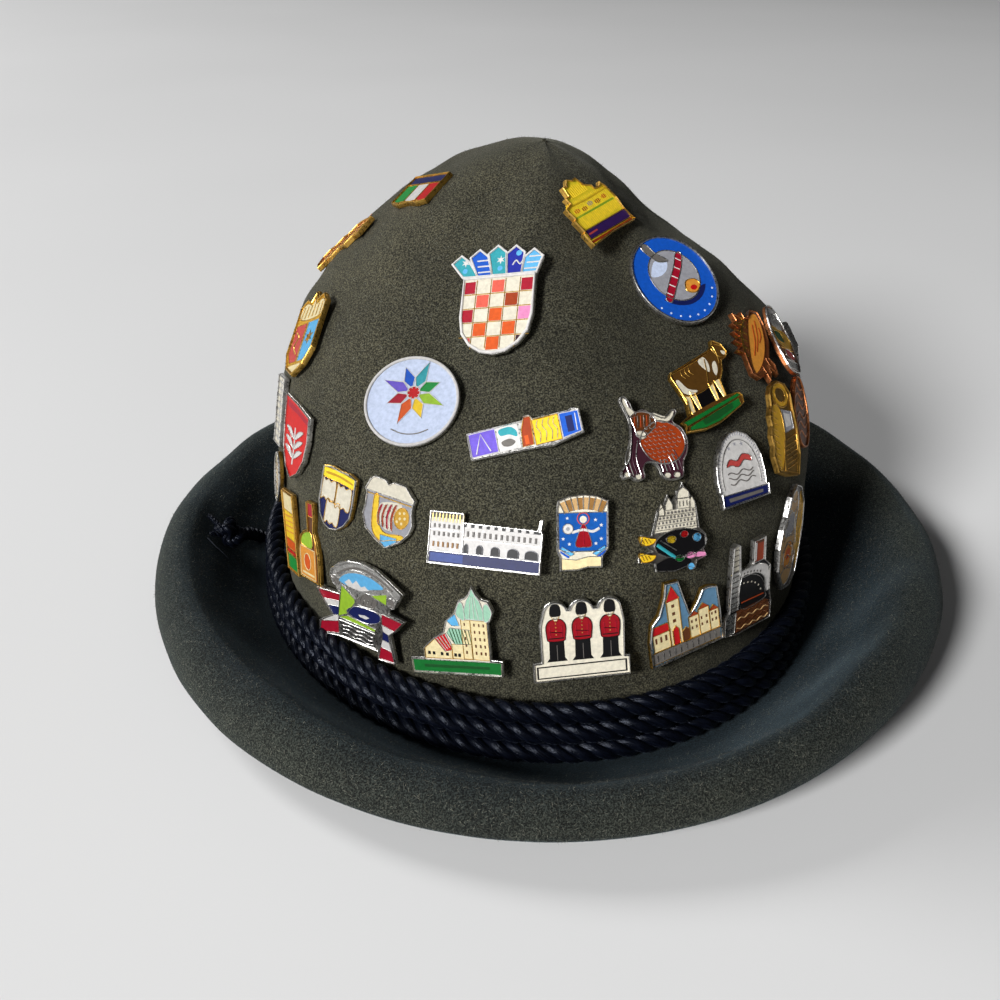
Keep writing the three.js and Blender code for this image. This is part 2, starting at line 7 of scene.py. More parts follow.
import bpy
import numpy as np
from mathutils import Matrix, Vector


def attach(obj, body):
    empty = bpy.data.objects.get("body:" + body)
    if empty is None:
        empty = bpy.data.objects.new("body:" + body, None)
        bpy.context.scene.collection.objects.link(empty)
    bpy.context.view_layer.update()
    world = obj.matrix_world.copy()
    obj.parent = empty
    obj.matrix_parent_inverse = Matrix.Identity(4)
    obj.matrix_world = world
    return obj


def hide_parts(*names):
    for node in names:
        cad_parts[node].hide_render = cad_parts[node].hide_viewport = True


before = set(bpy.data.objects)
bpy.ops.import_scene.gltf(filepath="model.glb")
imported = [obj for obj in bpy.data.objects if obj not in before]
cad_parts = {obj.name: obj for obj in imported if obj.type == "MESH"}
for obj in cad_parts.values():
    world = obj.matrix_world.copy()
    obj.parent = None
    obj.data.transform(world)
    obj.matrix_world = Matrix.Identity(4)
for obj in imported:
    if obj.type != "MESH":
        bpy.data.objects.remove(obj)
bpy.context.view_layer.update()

MM = 0.001
SHIFT = np.array([-4.0, -3.0, 0.0])

# The felt's shape, the same as in the solid model.
FELT = 2.2
HALF_WIDTH = 86.5
HALF_LENGTH = 100.0
HEIGHT = 146.5
PEAK_LEAN = 4.0
DENT_DEPTH = 10.0

# Crown sections from the brim up: height, width, front, back and lean, as shares.
CROWN = np.array([(0.0, 1.0, 1.0, 1.0, 0.0), (0.15, 1.01, 0.985, 0.985, 0.25),
                  (0.3, 1.005, 0.955, 0.96, 0.375), (0.45, 0.985, 0.885, 0.935, 0.625),
                  (0.58, 0.925, 0.765, 0.885, 0.5), (0.7, 0.785, 0.59, 0.8, 0.125),
                  (0.8, 0.62, 0.43, 0.7, 0.0), (0.9, 0.39, 0.25, 0.545, -0.125),
                  (0.965, 0.195, 0.09, 0.37, 0.25), (1.0, 0.0, -0.12, 0.12, 1.0)])
PEAK = len(CROWN) - 1
# Dents: angle, height share, spread in degrees, spread in height, share of the dent depth.
DENTS = [(-30, 0.7, 20, 0.24, 0.8), (28, 0.76, 20, 0.24, 0.9), (90, 0.84, 34, 0.12, 1.1)]
# The brim every 45 degrees from the back: overhang, rise, lip width and lip drop.
BRIM = np.array([(47, 18.5, 6.5, 6), (44, 15, 7.5, 7.5), (43.5, 19.5, 9, 10.5), (43, 19.5, 12, 11),
                 (41, 17, 8.5, 8.5), (45.5, 24, 10, 10.5), (51.5, 19.5, 7.5, 8), (51, 20, 6.5, 6)], float)
DISH = np.array([(0, 0), (0.1, 0), (0.3, 0.06), (0.52, 0.3), (0.74, 0.68), (0.9, 0.93), (1, 1)], float)
CREST = 6
# One over the brim's half width and half length in metres, which places the painted shade in the dish.
SHADED_DISH_SHAPE = (1 / 0.131, 1 / 0.144, 0)
LIP_END = 9

# The cord and its knot.
CORD_RADIUS = 3.1
CORD_GAP = 0.35
CORD_ROW_SPREAD = 0.6
CORD_ROW_RISE = math.sqrt((2 * CORD_RADIUS + 0.3) ** 2 - CORD_ROW_SPREAD**2)
CORD_TURNS = 3
CORD_STEP_ANGLE = -126
CORD_STEP_SPAN = 30
CORD_LAY = 16.2
CORD_POINT_STEP = 0.9
KNOT_RADIUS = 1.55
KNOT_STRAND = 2.0
KNOT_LAY = 7.5
KNOT_POINT_STEP = 0.35
KNOT_SIZE = 1.3
KNOT_RISE = 1.8
KNOT_ANGLE = -95
KNOT_PLACE = 3.65
NECK_RADIUS = 2.3
NECK_ANGLE = -100
NECK_TURNS = 7
WRAP_RADIUS = 0.82
WRAP_INSET = 0.75
CORE_INSET = 0.9
TAIL_RADIUS = 1.05
TAIL_LAY = 4.5
THREAD_RADIUS = 0.12
# The three strands of a rope: size as a share of the rope's, overlap, and the taper at a free end.
STRANDS = 3
STRAND_SHARE = 1 / 2.02
STRAND_OVERLAP = 1.06
END_SIZE = 0.35
END_TAPER = 2.5


def catmull(a, b, c, d, f):
    """A smooth way from b to c, by a share f, with a and d as their neighbours."""
    return 0.5 * (2 * b + (c - a) * f + (2 * a - 5 * b + 4 * c - d) * f**2 + (3 * b - a - 3 * c + d) * f**3)


def smooth(values, place):
    """A smooth curve through evenly spaced values."""
    values = np.asarray(values, float)
    v = np.concatenate([[2 * values[0] - values[1]], values, [2 * values[-1] - values[-2]]])
    i = np.clip(np.floor(place).astype(int), 0, len(values) - 2)
    return catmull(v[i], v[i + 1], v[i + 2], v[i + 3], place - i)


def crown(angle, ring):
    """Points of the crown's outside, by angle from the front and section."""
    angle, ring = np.broadcast_arrays(np.asarray(angle, float), np.asarray(ring, float))
    h, w, f, b, lean = CROWN.T
    height = smooth(np.append(h, h[-2]), ring)
    width = smooth(np.append(w, -w[-2]), ring) * HALF_WIDTH
    length = smooth(np.append((f + b) / 2, -(f + b)[-2] / 2), ring) * HALF_LENGTH
    setback = smooth(np.append((b - f) / 2, (b - f)[-2] / 2), ring) * HALF_LENGTH
    lean = PEAK_LEAN * smooth(np.append(lean, 2 * lean[-1] - lean[-2]), ring)
    x = width * np.sin(np.radians(angle))
    y = -length * np.cos(np.radians(angle))
    depth = 0
    for place, high, spread, tall, deep in DENTS:
        across = (angle - place + 180) % 360 - 180
        near = np.exp(-((across / spread) ** 2) - ((height - high) / tall) ** 2)
        depth = depth + deep * DENT_DEPTH * near
    keep = np.clip(1 - depth / (np.hypot(x, y) + 1e-9), 0.05, 1)
    return np.stack([x * keep + lean, y * keep + setback, height * HEIGHT + FELT * (1 - height)], -1)


def oval(angle):
    """Points on the crown's foot, by angle from the front."""
    t = np.radians(np.asarray(angle, float))
    return np.stack([HALF_WIDTH * np.sin(t), -HALF_LENGTH * np.cos(t), 0 * t], -1)


def oval_out(angle):
    """Which way is out, level and square to the crown's foot."""
    t = np.radians(np.asarray(angle, float))
    v = np.stack([HALF_LENGTH * np.sin(t), -HALF_WIDTH * np.cos(t), 0 * t], -1)
    return v / np.linalg.norm(v, axis=-1, keepdims=True)


def brim_value(column, angle):
    place = ((np.asarray(angle, float) + 180) % 360) / (360 / len(BRIM))
    i = np.floor(place).astype(int)
    a, b, c, d = [BRIM[(i + k) % len(BRIM), column] for k in (-1, 0, 1, 2)]
    return catmull(a, b, c, d, place - i)


def brim(angle, place):
    """Points of the brim's top: place 0 at the crown, CREST at the crest, LIP_END at the edge."""
    angle, place = np.broadcast_arrays(np.asarray(angle, float), np.asarray(place, float))
    over, rise, lip, drop = [brim_value(k, angle) for k in range(4)]
    dish = np.minimum(place, CREST)
    roll = np.maximum(place - CREST, 0) / (LIP_END - CREST) * np.pi / 2
    out = smooth(DISH[:, 0], dish) * (over - lip) + lip * np.sin(roll)
    up = np.maximum(smooth(DISH[:, 1], dish), 0) * rise - drop * (1 - np.cos(roll))
    point = oval(angle) + oval_out(angle) * out[..., None]
    point[..., 2] = FELT + up
    return point


def unit(v):
    return v / (np.linalg.norm(v, axis=-1, keepdims=True) + 1e-12)


def normal_of(surface, angle, place):
    around = surface(angle + 0.2, place) - surface(angle - 0.2, place)
    along = surface(angle, place + 0.01) - surface(angle, place - 0.01)
    return unit(np.cross(around, along))


def crown_normal(angle, ring):
    return normal_of(crown, angle, np.minimum(ring, PEAK - 0.2))


def brim_normal(angle, place):
    return -normal_of(brim, angle, np.clip(place, 0.02, LIP_END - 0.02))


def place(points):
    """Points of the hat, in millimetres, to metres in the row frame."""
    return (np.asarray(points, float) + SHIFT) * MM


def smoothstep(x, low, high):
    t = np.clip((x - low) / (high - low), 0, 1)
    return t * t * (3 - 2 * t)


# Meshes and materials

def new_object(name, points, faces, materials, indices=None, smooth_faces=True):
    mesh = bpy.data.meshes.new(name)
    mesh.from_pydata([tuple(p) for p in points], [], [tuple(f) for f in faces])
    for material in materials:
        mesh.materials.append(material)
    if indices is not None:
        mesh.polygons.foreach_set("material_index", np.asarray(indices, np.int32))
    mesh.polygons.foreach_set("use_smooth", np.full(len(mesh.polygons), bool(smooth_faces)))
    mesh.update()
    piece = bpy.data.objects.new(name, mesh)
    bpy.context.scene.collection.objects.link(piece)
    return piece


class Shader:
    """A material with a Principled shader, and short ways to add nodes to it."""

    def __init__(self, name, **values):
        self.material = bpy.data.materials.new(name)
        self.material.use_nodes = True
        self.tree = self.material.node_tree
        self.main = self.tree.nodes["Principled BSDF"]
        for key, value in values.items():
            self.main.inputs[key.replace("_", " ")].default_value = value

    def node(self, kind, inputs=None, **settings):
        node = self.tree.nodes.new(kind)
        for key, value in settings.items():
            setattr(node, key, value)
        for key, value in (inputs or {}).items():
            self.feed(node, key, value)
        return node

    def feed(self, node, key, value):
        """Gives an input a fixed value, or joins the output of another node to it."""
        if isinstance(value, bpy.types.NodeSocket):
            self.tree.links.new(value, node.inputs[key])
        else:
            node.inputs[key].default_value = value

    def coordinates(self, kind="Object", scale=(1, 1, 1), rotation=(0, 0, 0)):
        source = self.node("ShaderNodeTexCoord")
        mapping = self.node("ShaderNodeMapping", {"Vector": source.outputs[kind], "Scale": scale,
                                                  "Rotation": rotation})
        return mapping.outputs["Vector"]

    def noise(self, scale, detail=3.0, roughness=0.5, vector=None):
        node = self.node("ShaderNodeTexNoise", {"Scale": scale, "Detail": detail, "Roughness": roughness,
                                                "Vector": self.coordinates() if vector is None
                                                else vector})
        return node.outputs["Fac"]

    def ramp(self, factor, *stops):
        node = self.node("ShaderNodeValToRGB", {"Fac": factor})
        ramp = node.color_ramp
        while len(ramp.elements) < len(stops):
            ramp.elements.new(0.5)
        for element, (position, colour) in zip(ramp.elements, stops):
            element.position = position
            element.color = (*colour, 1) if len(colour) == 3 else colour
        return node.outputs["Color"]

    def mix(self, factor, a, b, blend="MIX"):
        node = self.node("ShaderNodeMix", data_type="RGBA", blend_type=blend)
        for key, value in ((0, factor), (6, a), (7, b)):
            self.feed(node, key, (*value, 1) if isinstance(value, tuple) else value)
        return node.outputs[2]

    def math(self, operation, a, b):
        return self.node("ShaderNodeMath", {0: a, 1: b}, operation=operation).outputs[0]

    def bump(self, height, distance, strength=1.0, normal=None):
        inputs = {"Height": height, "Distance": distance, "Strength": strength}
        if normal is not None:
            inputs["Normal"] = normal
        return self.node("ShaderNodeBump", inputs).outputs["Normal"]

    def set(self, name, socket):
        self.tree.links.new(socket, self.main.inputs[name])


def scaled(colour, factor):
    return tuple(min(c * factor, 1.0) for c in colour)


def felt_material(name, colour, tint, dish=None):
    """Wool felt: matted short fibres, a few lighter and darker, with soft clouding; given a dish colour,
    painted shade darkens the brim's dish.
    """
    s = Shader(name, Roughness=0.92, Sheen_Weight=0.12, Sheen_Roughness=0.45, Sheen_Tint=(*tint, 1),
               Specular_IOR_Level=0.18)
    grain = s.noise(2300, 1.5, 0.5)
    tilted = s.coordinates(scale=(2600, 700, 2600), rotation=(0.5, 0.3, 0.8))
    crossed = s.coordinates(scale=(600, 2400, 2400), rotation=(0.2, 0.7, 0.4))
    fibre_a = s.noise(1.0, 2, 0.6, tilted)
    fibre_b = s.noise(1.0, 2, 0.6, crossed)
    cloud = s.noise(55, 3, 0.5)
    broad = s.noise(14, 2, 0.5)
    base = s.ramp(grain, (0.37, scaled(colour, 0.25)), (0.5, scaled(colour, 0.8)),
                  (0.62, scaled(colour, 2.4)))
    fleck = s.ramp(fibre_a, (0.56, (0, 0, 0)), (0.66, (1, 1, 1)))
    base = s.mix(s.math("MULTIPLY", fleck, 0.5), base, scaled(colour, 2.4))
    dark = s.ramp(fibre_b, (0.56, (0, 0, 0)), (0.68, (1, 1, 1)))
    base = s.mix(s.math("MULTIPLY", dark, 0.55), base, scaled(colour, 0.3))
    shade = s.ramp(cloud, (0.3, (0.82, 0.82, 0.82)), (0.7, (1.12, 1.1, 1.06)))
    base = s.mix(1.0, base, shade, "MULTIPLY")
    wide = s.ramp(broad, (0.3, (0.9, 0.92, 0.94)), (0.7, (1.08, 1.06, 1.02)))
    base = s.mix(1.0, base, wide, "MULTIPLY")
    if dish:
        # Painted shade: the dish is darker and bluer than the lip, standing in for the shade and the blue
        # sky light that fall in it.
        flat = s.node("ShaderNodeVectorMath", {0: s.coordinates(), 1: (1, 1, 0)}, operation="MULTIPLY")
        offset = s.node("ShaderNodeVectorMath", {0: flat.outputs["Vector"], 1: tuple(-SHIFT * MM)},
                        operation="ADD")
        shape = s.node("ShaderNodeVectorMath", {0: offset.outputs["Vector"], 1: SHADED_DISH_SHAPE},
                       operation="MULTIPLY")
        reach = s.node("ShaderNodeVectorMath", {0: shape.outputs["Vector"]}, operation="LENGTH")
        tone = s.ramp(reach.outputs["Value"], (0.87, dish), (1.0, (1, 1, 1)))
        base = s.mix(1.0, base, tone, "MULTIPLY")
    s.set("Base Color", base)
    heights = s.math("ADD", grain, s.math("MULTIPLY", s.math("ADD", fibre_a, fibre_b), 0.5))
    uneven = s.bump(cloud, 0.0006, 0.5)
    s.set("Normal", s.bump(heights, 0.00022, 0.8, uneven))
    return s.material


def fibre_material(name, colour):
    s = Shader(name, Roughness=0.8, Sheen_Weight=0.1, Specular_IOR_Level=0.2)
    s.set("Base Color", s.ramp(s.noise(400, 2), (0.3, scaled(colour, 0.75)), (0.7, scaled(colour, 1.25))))
    return s.material


def cord_material(name, colour):
    """Satin yarn: fine filaments along each strand, near-black navy."""
    s = Shader(name, Roughness=0.5, Sheen_Weight=0.02, Sheen_Roughness=0.35,
               Sheen_Tint=(0.45, 0.55, 0.8, 1), Specular_IOR_Level=0.15,
               Specular_Tint=(0.75, 0.82, 1.0, 1))
    along = s.coordinates("UV", scale=(13, 0.25, 1), rotation=(0, 0, 0.05))
    filaments = s.noise(1.0, 3, 0.65, along)
    fine = s.noise(2500, 2, 0.5)
    base = s.ramp(filaments, (0.32, scaled(colour, 0.45)), (0.52, colour), (0.72, scaled(colour, 2.2)))
    s.set("Base Color", base)
    s.set("Roughness", s.ramp(filaments, (0.3, (0.22, 0.22, 0.22)), (0.7, (0.36, 0.36, 0.36))))
    s.set("Normal", s.bump(s.math("ADD", filaments, s.math("MULTIPLY", fine, 0.3)), 0.0004, 0.8))
    return s.material


def enamel_material(name, colour):
    """Glossy enamel: an even colour with faint clouding and a slightly wavy surface."""
    s = Shader(name, Roughness=0.42, Specular_IOR_Level=0.22)
    shade = s.ramp(s.noise(900, 3, 0.6), (0.3, scaled(colour, 0.86)), (0.7, scaled(colour, 1.1)))
    s.set("Base Color", shade)
    s.set("Normal", s.bump(s.noise(420, 2, 0.5), 0.00012, 0.25))
    return s.material


def metal_material(name, colour, roughness):
    """Plated metal: struck surface with fine wear and patches of darker tarnish."""
    s = Shader(name, Metallic=1.0, Roughness=roughness)
    wear = s.noise(1300, 4, 0.6)
    tarnish = s.noise(230, 3, 0.55)
    base = s.ramp(tarnish, (0.3, scaled(colour, 0.62)), (0.55, colour), (0.75, scaled(colour, 1.12)))
    s.set("Base Color", base)
    rough = s.ramp(wear, (0.3, (roughness * 0.7,) * 3), (0.7, (roughness * 1.5,) * 3))
    s.set("Roughness", rough)
    s.set("Normal", s.bump(wear, 0.00008, 0.5))
    return s.material


# Felt body

FELT_AROUND = 288
CROWN_ROWS = 128
BRIM_ROWS = 62
UNDER_ROWS = 34
INSIDE_ROWS = 64
FIBRES = 120000
FIBRES_ON_CROWN = 0.6
FIBRE_LENGTH = (0.5, 1.5)
FIBRE_WIDTH = (0.03, 0.055)
FIBRE_LIFT = 0.28
CROWN_COLOUR = (0.032, 0.0305, 0.0205)
# Painted shade: the brim's felt is a darker, bluer copy of the crown's, for the shade and sky light on the
# brim.
BRIM_SHADED_COLOUR = (0.0205, 0.0225, 0.0175)
# Wave lengths and heights of the lumps in blocked felt.
LUMP_WAVES = [(62, 0.35), (48, 0.3), (37, 0.25), (29, 0.2), (23, 0.14), (17, 0.1), (13, 0.08)] * 2
rng = np.random.default_rng(7)
LUMPS = [(unit(rng.normal(size=3)) * 2 * np.pi / wave, rng.uniform(0, 6.28), size)
         for wave, size in LUMP_WAVES]


def lumps(points):
    """Soft unevenness of hand-blocked felt, in millimetres."""
    return sum(size * np.sin(points @ wave + phase) for wave, phase, size in LUMPS)


def even_steps(surface, low, high, count):
    """Places from low to high that lie evenly along the surface."""
    t = np.linspace(low, high, 600)
    lines = surface(np.arange(0, 360, 45)[:, None], t[None, :])
    length = np.concatenate([[0], np.cumsum(np.linalg.norm(np.diff(lines, axis=1), axis=-1).mean(0))])
    return np.interp(np.linspace(0, length[-1], count), length, t)


def brim_fade(at):
    """The share of the lumps on the brim, least at the lip, which is pressed smooth."""
    return 0.6 - 0.45 * smoothstep(at, 6.5, 8.5)


def crown_row(angles, ring, below=0.0):
    """A ring of points on the crown's outside, or below it in the felt's thickness."""
    point, normal = crown(angles, ring), crown_normal(angles, ring)
    return point + normal * (lumps(point) * smoothstep(ring, 0.0, 0.8) - below)[:, None]


def brim_row(angles, at, below=0.0):
    """A ring of points on the brim's top, or below it in the felt's thickness."""
    point, normal = brim(angles, at), brim_normal(angles, at)
    fade = smoothstep(at, 1.0, 2.5) * brim_fade(at)
    return point + normal * (lumps(point) * fade - below)[:, None]


def felt_edge(edge, out):
    """Rings of points round the felt's cut edge, a half circle as wide as the felt is thick."""
    rows = []
    for turn in (0.25, 0.5, 0.75):
        across = out * math.cos(turn * math.pi) - out
        down = np.array([0, 0, -1.0]) * math.sin(turn * math.pi)
        rows.append(edge + (across + down) * FELT / 2)
    return rows


def felt_rows(angles):
    """Rings of points down the crown's outside, over the brim, round its edge and back up inside.

    They start and end just under the peak, and stop short of the corner between crown and brim.
    """
    rows = [crown_row(angles, ring) for ring in even_steps(crown, 8.93, 0.1, CROWN_ROWS)]
    rows.append(brim(angles, 0.0) + np.array([0, 0, 0.1]))
    rows += [brim_row(angles, at) for at in even_steps(brim, 0.12, LIP_END, BRIM_ROWS)]
    rows += felt_edge(rows[-1], brim_normal(angles, LIP_END))
    for at in even_steps(brim, LIP_END, 1.0, UNDER_ROWS):
        under = brim_row(angles, at, FELT)
        under[:, 2] = np.maximum(under[:, 2], 0.0)
        rows.append(under)
    rows.append(oval(angles) - oval_out(angles) * 0.8)
    rows += [crown_row(angles, ring, FELT) for ring in even_steps(crown, 0.14, 8.9, INSIDE_ROWS)]
    return rows


def make_felt():
    rows = felt_rows(np.linspace(-180, 180, FELT_AROUND, endpoint=False))
    top = crown(0.0, float(PEAK))
    points = np.concatenate([[top], *rows, [top - np.array([0, 0, FELT])]])
    n = FELT_AROUND
    pairs = [(i, (i + 1) % n) for i in range(n)]
    last = 1 + (len(rows) - 1) * n
    faces = [(0, 1 + i, 1 + j) for i, j in pairs]
    indices = [0] * n
    for row in range(len(rows) - 1):
        a, b = 1 + row * n, 1 + (row + 1) * n
        faces += [(a + i, b + i, b + j, a + j) for i, j in pairs]
        indices += [0 if row < CROWN_ROWS else 1] * n
    faces += [(last + i, len(points) - 1, last + j) for i, j in pairs]
    indices += [1] * n
    # The brim's copy of the felt is painted darker, with a bluer sheen tint as a painted sky reflection,
    # and painted shade in its dish.
    materials = [felt_material("felt_crown", CROWN_COLOUR, (0.62, 0.62, 0.5)),
                 felt_material("felt_brim_shaded", BRIM_SHADED_COLOUR, (0.34, 0.48, 0.56), (0.24, 0.4, 0.7))]
    piece = new_object("felt_hat", place(points), faces, materials, indices)
    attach(piece, "root")
    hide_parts("felt_body")


def make_fibres():
    """Short loose fibres that lie on the felt, one thin triangle each."""
    rng = np.random.default_rng(11)
    count = FIBRES
    on_crown = rng.random(count) < FIBRES_ON_CROWN
    angle = rng.uniform(-180, 180, count)
    ring = even_steps(crown, 0.9, 8.9, 400)[rng.integers(0, 400, count)] + rng.uniform(-0.01, 0.01, count)
    at = even_steps(brim, 2.2, LIP_END, 300)[rng.integers(0, 300, count)]
    points, normals = np.zeros((count, 3)), np.zeros((count, 3))
    c, b = on_crown, ~on_crown
    points[c], normals[c] = crown(angle[c], ring[c]), crown_normal(angle[c], ring[c])
    points[b], normals[b] = brim(angle[b], at[b]), brim_normal(angle[b], at[b])
    # The rings near the peak are short, so fewer of their fibres are kept.
    keep = rng.random(count) < np.hypot(points[:, 0], points[:, 1] - 15) / np.where(c, 100, 150)
    points, normals = points[keep], normals[keep]
    fade = np.where(c[keep], 1.0, brim_fade(at[keep]))
    points = points + normals * (lumps(points) * fade)[:, None]
    n = len(points)
    side = unit(np.cross(normals, rng.normal(size=(n, 3))))
    cross = np.cross(normals, side)
    length = rng.uniform(*FIBRE_LENGTH, n)[:, None]
    lift = np.abs(rng.normal(0, FIBRE_LIFT, n))[:, None]
    tip = points + (side * np.cos(lift) + normals * np.sin(lift)) * length + normals * 0.05
    width = rng.uniform(*FIBRE_WIDTH, n)[:, None]
    verts = np.stack([points - cross * width, points + cross * width, tip], 1).reshape(-1, 3)
    faces = np.arange(3 * n).reshape(-1, 3)
    shades = rng.choice(3, n, p=[0.45, 0.3, 0.25])
    materials = [fibre_material("fibre_mid", (0.05, 0.05, 0.037)),
                 fibre_material("fibre_light", (0.15, 0.15, 0.12)),
                 fibre_material("fibre_dark", (0.02, 0.02, 0.015))]
    piece = new_object("felt_fibres", place(verts), faces, materials, shades, False)
    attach(piece, "root")


# Cord

def cord_point(angle, row):
    """The middle of the cord in one of its rows, against the crown."""
    z = FELT + CORD_GAP + CORD_RADIUS + row * CORD_ROW_RISE
    ring = np.maximum(z - FELT, 0) / (HEIGHT - FELT) / CROWN[1, 0]
    wall, foot = crown(angle, ring), oval(angle)
    swell = np.maximum(np.hypot(wall[..., 0], wall[..., 1]) - np.hypot(foot[..., 0], foot[..., 1]), 0)
    out = swell + CORD_RADIUS + CORD_GAP + CORD_ROW_SPREAD * (CORD_TURNS - 1 - row)
    point = foot + oval_out(angle) * out[..., None]
    point[..., 2] = z
    return point


def lengths_along(points):
    """The length of a line up to each of its points."""
    return np.concatenate([[0], np.cumsum(np.linalg.norm(np.diff(points, axis=0), axis=1))])


def directions(points, closed):
    """Which way a line goes at each of its points."""
    ahead = np.roll(points, -1, 0) - np.roll(points, 1, 0)
    if not closed:
        ahead[0], ahead[-1] = points[1] - points[0], points[-1] - points[-2]
    return unit(ahead)


def square_to(ahead, across):
    """The vectors across, made square to the line's direction."""
    return unit(across - ahead * (across * ahead).sum(1)[:, None])


def resample(points, step, closed=False):
    """The same line with points a step apart."""
    loop = np.vstack([points, points[:1]]) if closed else points
    length = lengths_along(loop)
    count = max(int(round(length[-1] / step)), 4)
    places = np.linspace(0, length[-1], count, endpoint=not closed)
    return np.stack([np.interp(places, length, loop[:, k]) for k in range(3)], 1)


def tube(centres, around, radius, sides, first=0, closed=False, twist=0.0):
    """Points, faces and UVs of a tube. At each centre, around is a vector across it and radius its size."""
    n = len(centres)
    ahead = directions(centres, closed)
    a = square_to(ahead, around)
    b = np.cross(ahead, a)
    radius = np.broadcast_to(radius, n)
    length = lengths_along(centres)
    turn = np.arange(sides) / sides * 2 * np.pi
    circle = a[:, None] * np.cos(turn)[None, :, None] + b[:, None] * np.sin(turn)[None, :, None]
    points = (centres[:, None] + radius[:, None, None] * circle).reshape(-1, 3)
    faces, uvs = [], []
    for i in range(n if closed else n - 1):
        j = (i + 1) % n
        v0, v1 = length[i], length[i] + np.linalg.norm(centres[j] - centres[i])
        low, high = first + i * sides, first + j * sides
        for k in range(sides):
            m = (k + 1) % sides
            faces.append((low + k, low + m, high + m, high + k))
            u0, u1 = k / sides, (k + 1) / sides
            uvs += [(u0 + twist * v0, v0), (u1 + twist * v0, v0), (u1 + twist * v1, v1),
                    (u0 + twist * v1, v1)]
    if not closed:
        faces.append(tuple(first + k for k in reversed(range(sides))))
        faces.append(tuple(first + (n - 1) * sides + k for k in range(sides)))
        uvs += [(0, 0)] * (2 * sides)
    return points, faces, uvs


def rope(centres, across, radius, lay, sides=9, closed=False):
    """Three strands twisted round a centre line. across is a vector from the line at each point."""
    strand = radius * STRAND_SHARE
    if closed:
        total = np.linalg.norm(centres - np.roll(centres, 1, 0), axis=1).sum()
        lay = total / max(round(total / lay), 1)
    length = lengths_along(centres)
    ahead = directions(centres, closed)
    a = square_to(ahead, across)
    b = np.cross(a, ahead)
    points, faces, uvs = [], [], []
    for k in range(STRANDS):
        turn = -2 * np.pi * length / lay + 2 * np.pi * k / STRANDS
        out = a * np.cos(turn)[:, None] + b * np.sin(turn)[:, None]
        line = centres + out * (radius - strand)
        size = np.full(len(line), strand * STRAND_OVERLAP)
        if not closed:
            from_end = np.minimum(length, length[-1] - length)
            size *= END_SIZE + (1 - END_SIZE) * np.clip(from_end / END_TAPER, 0, 1) ** 0.5
        p, f, u = tube(line, out, size, sides, sum(len(q) for q in points), closed, twist=0.035)
        points.append(p)
        faces += f
        uvs += u
    return np.concatenate(points), faces, uvs


def with_uvs(piece, uvs):
    layer = piece.data.uv_layers.new(name="UVMap")
    layer.data.foreach_set("uv", np.asarray(uvs, np.float32).ravel())
    return piece


def make_cord(material):
    turned_by = np.linspace(CORD_STEP_SPAN, 360 * CORD_TURNS - CORD_STEP_SPAN, 6000)
    row = sum(smoothstep(turned_by, 360 * t - CORD_STEP_SPAN, 360 * t + CORD_STEP_SPAN)
              for t in range(1, CORD_TURNS))
    line = resample(cord_point(CORD_STEP_ANGLE + turned_by, row), CORD_POINT_STEP)
    across = unit(np.cross(unit(np.gradient(line, axis=0)), [0, 0, 1.0]))
    points, faces, uvs = rope(line, across, CORD_RADIUS, CORD_LAY)
    piece = with_uvs(new_object("cord_strands", place(points), faces, [material]), uvs)
    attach(piece, "root")
    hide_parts("cord_band")


def knot_loops(basis, origin):
    """The knot itself, a line that crosses over and under itself three times."""
    t = np.linspace(0, 2 * np.pi, 900, endpoint=False)
    x = KNOT_SIZE * (np.sin(t) + 2 * np.sin(2 * t))
    y = KNOT_SIZE * (np.cos(t) - 2 * np.cos(2 * t))
    loop = np.stack([x, y, -KNOT_RISE * np.sin(3 * t)], 1) @ basis + origin
    loop = resample(loop, KNOT_POINT_STEP, True)
    return rope(loop, np.broadcast_to(basis[2], loop.shape), KNOT_STRAND, KNOT_LAY, 8, True)


def knot_neck(basis, origin):
    """The neck from the cord to the knot, a core with thin cord wound round it."""
    clear = CORD_RADIUS + NECK_RADIUS + CORD_GAP
    start = cord_point(NECK_ANGLE, 0.0) + oval_out(NECK_ANGLE) * clear + np.array([0, 0, 1.2])
    end = np.array([-KNOT_SIZE * 2.2, 0, 0]) @ basis + origin
    middle = (start + end) / 2 + np.array([0, 0, 1.6])
    u = np.linspace(0, 1, 60)[:, None]
    axis = (1 - u) ** 2 * start + 2 * u * (1 - u) * (2 * middle - (start + end) / 2) + u**2 * end
    ahead = unit(np.gradient(axis, axis=0))
    a = unit(np.cross(ahead, [0, 0, 1.0]))
    b = np.cross(a, ahead)
    steps = 60 * NECK_TURNS
    turn = np.linspace(0, NECK_TURNS * 2 * np.pi, steps)
    where = np.linspace(0, 1, steps) * (len(axis) - 1)

    def at(values):
        return np.stack([np.interp(where, np.arange(len(axis)), values[:, k]) for k in range(3)], 1)

    out = at(a) * np.cos(turn)[:, None] + at(b) * np.sin(turn)[:, None]
    coil = tube(at(axis) + out * (NECK_RADIUS - WRAP_INSET), out, WRAP_RADIUS, 8)
    return coil, tube(axis, a, NECK_RADIUS - CORE_INSET, 10)


def knot_tail(basis, origin, turn, reach):
    """A cut end of thin cord under the knot."""
    outward, side, normal = basis
    way = math.cos(turn) * outward + math.sin(turn) * side
    v = np.linspace(0, 1, 40)[:, None]
    tail = origin - normal * (KNOT_RISE + 0.6) * v + way * reach * v + side * 0.8 * np.sin(5 * v)
    return rope(tail, np.broadcast_to(normal, tail.shape), TAIL_RADIUS, TAIL_LAY, 7)


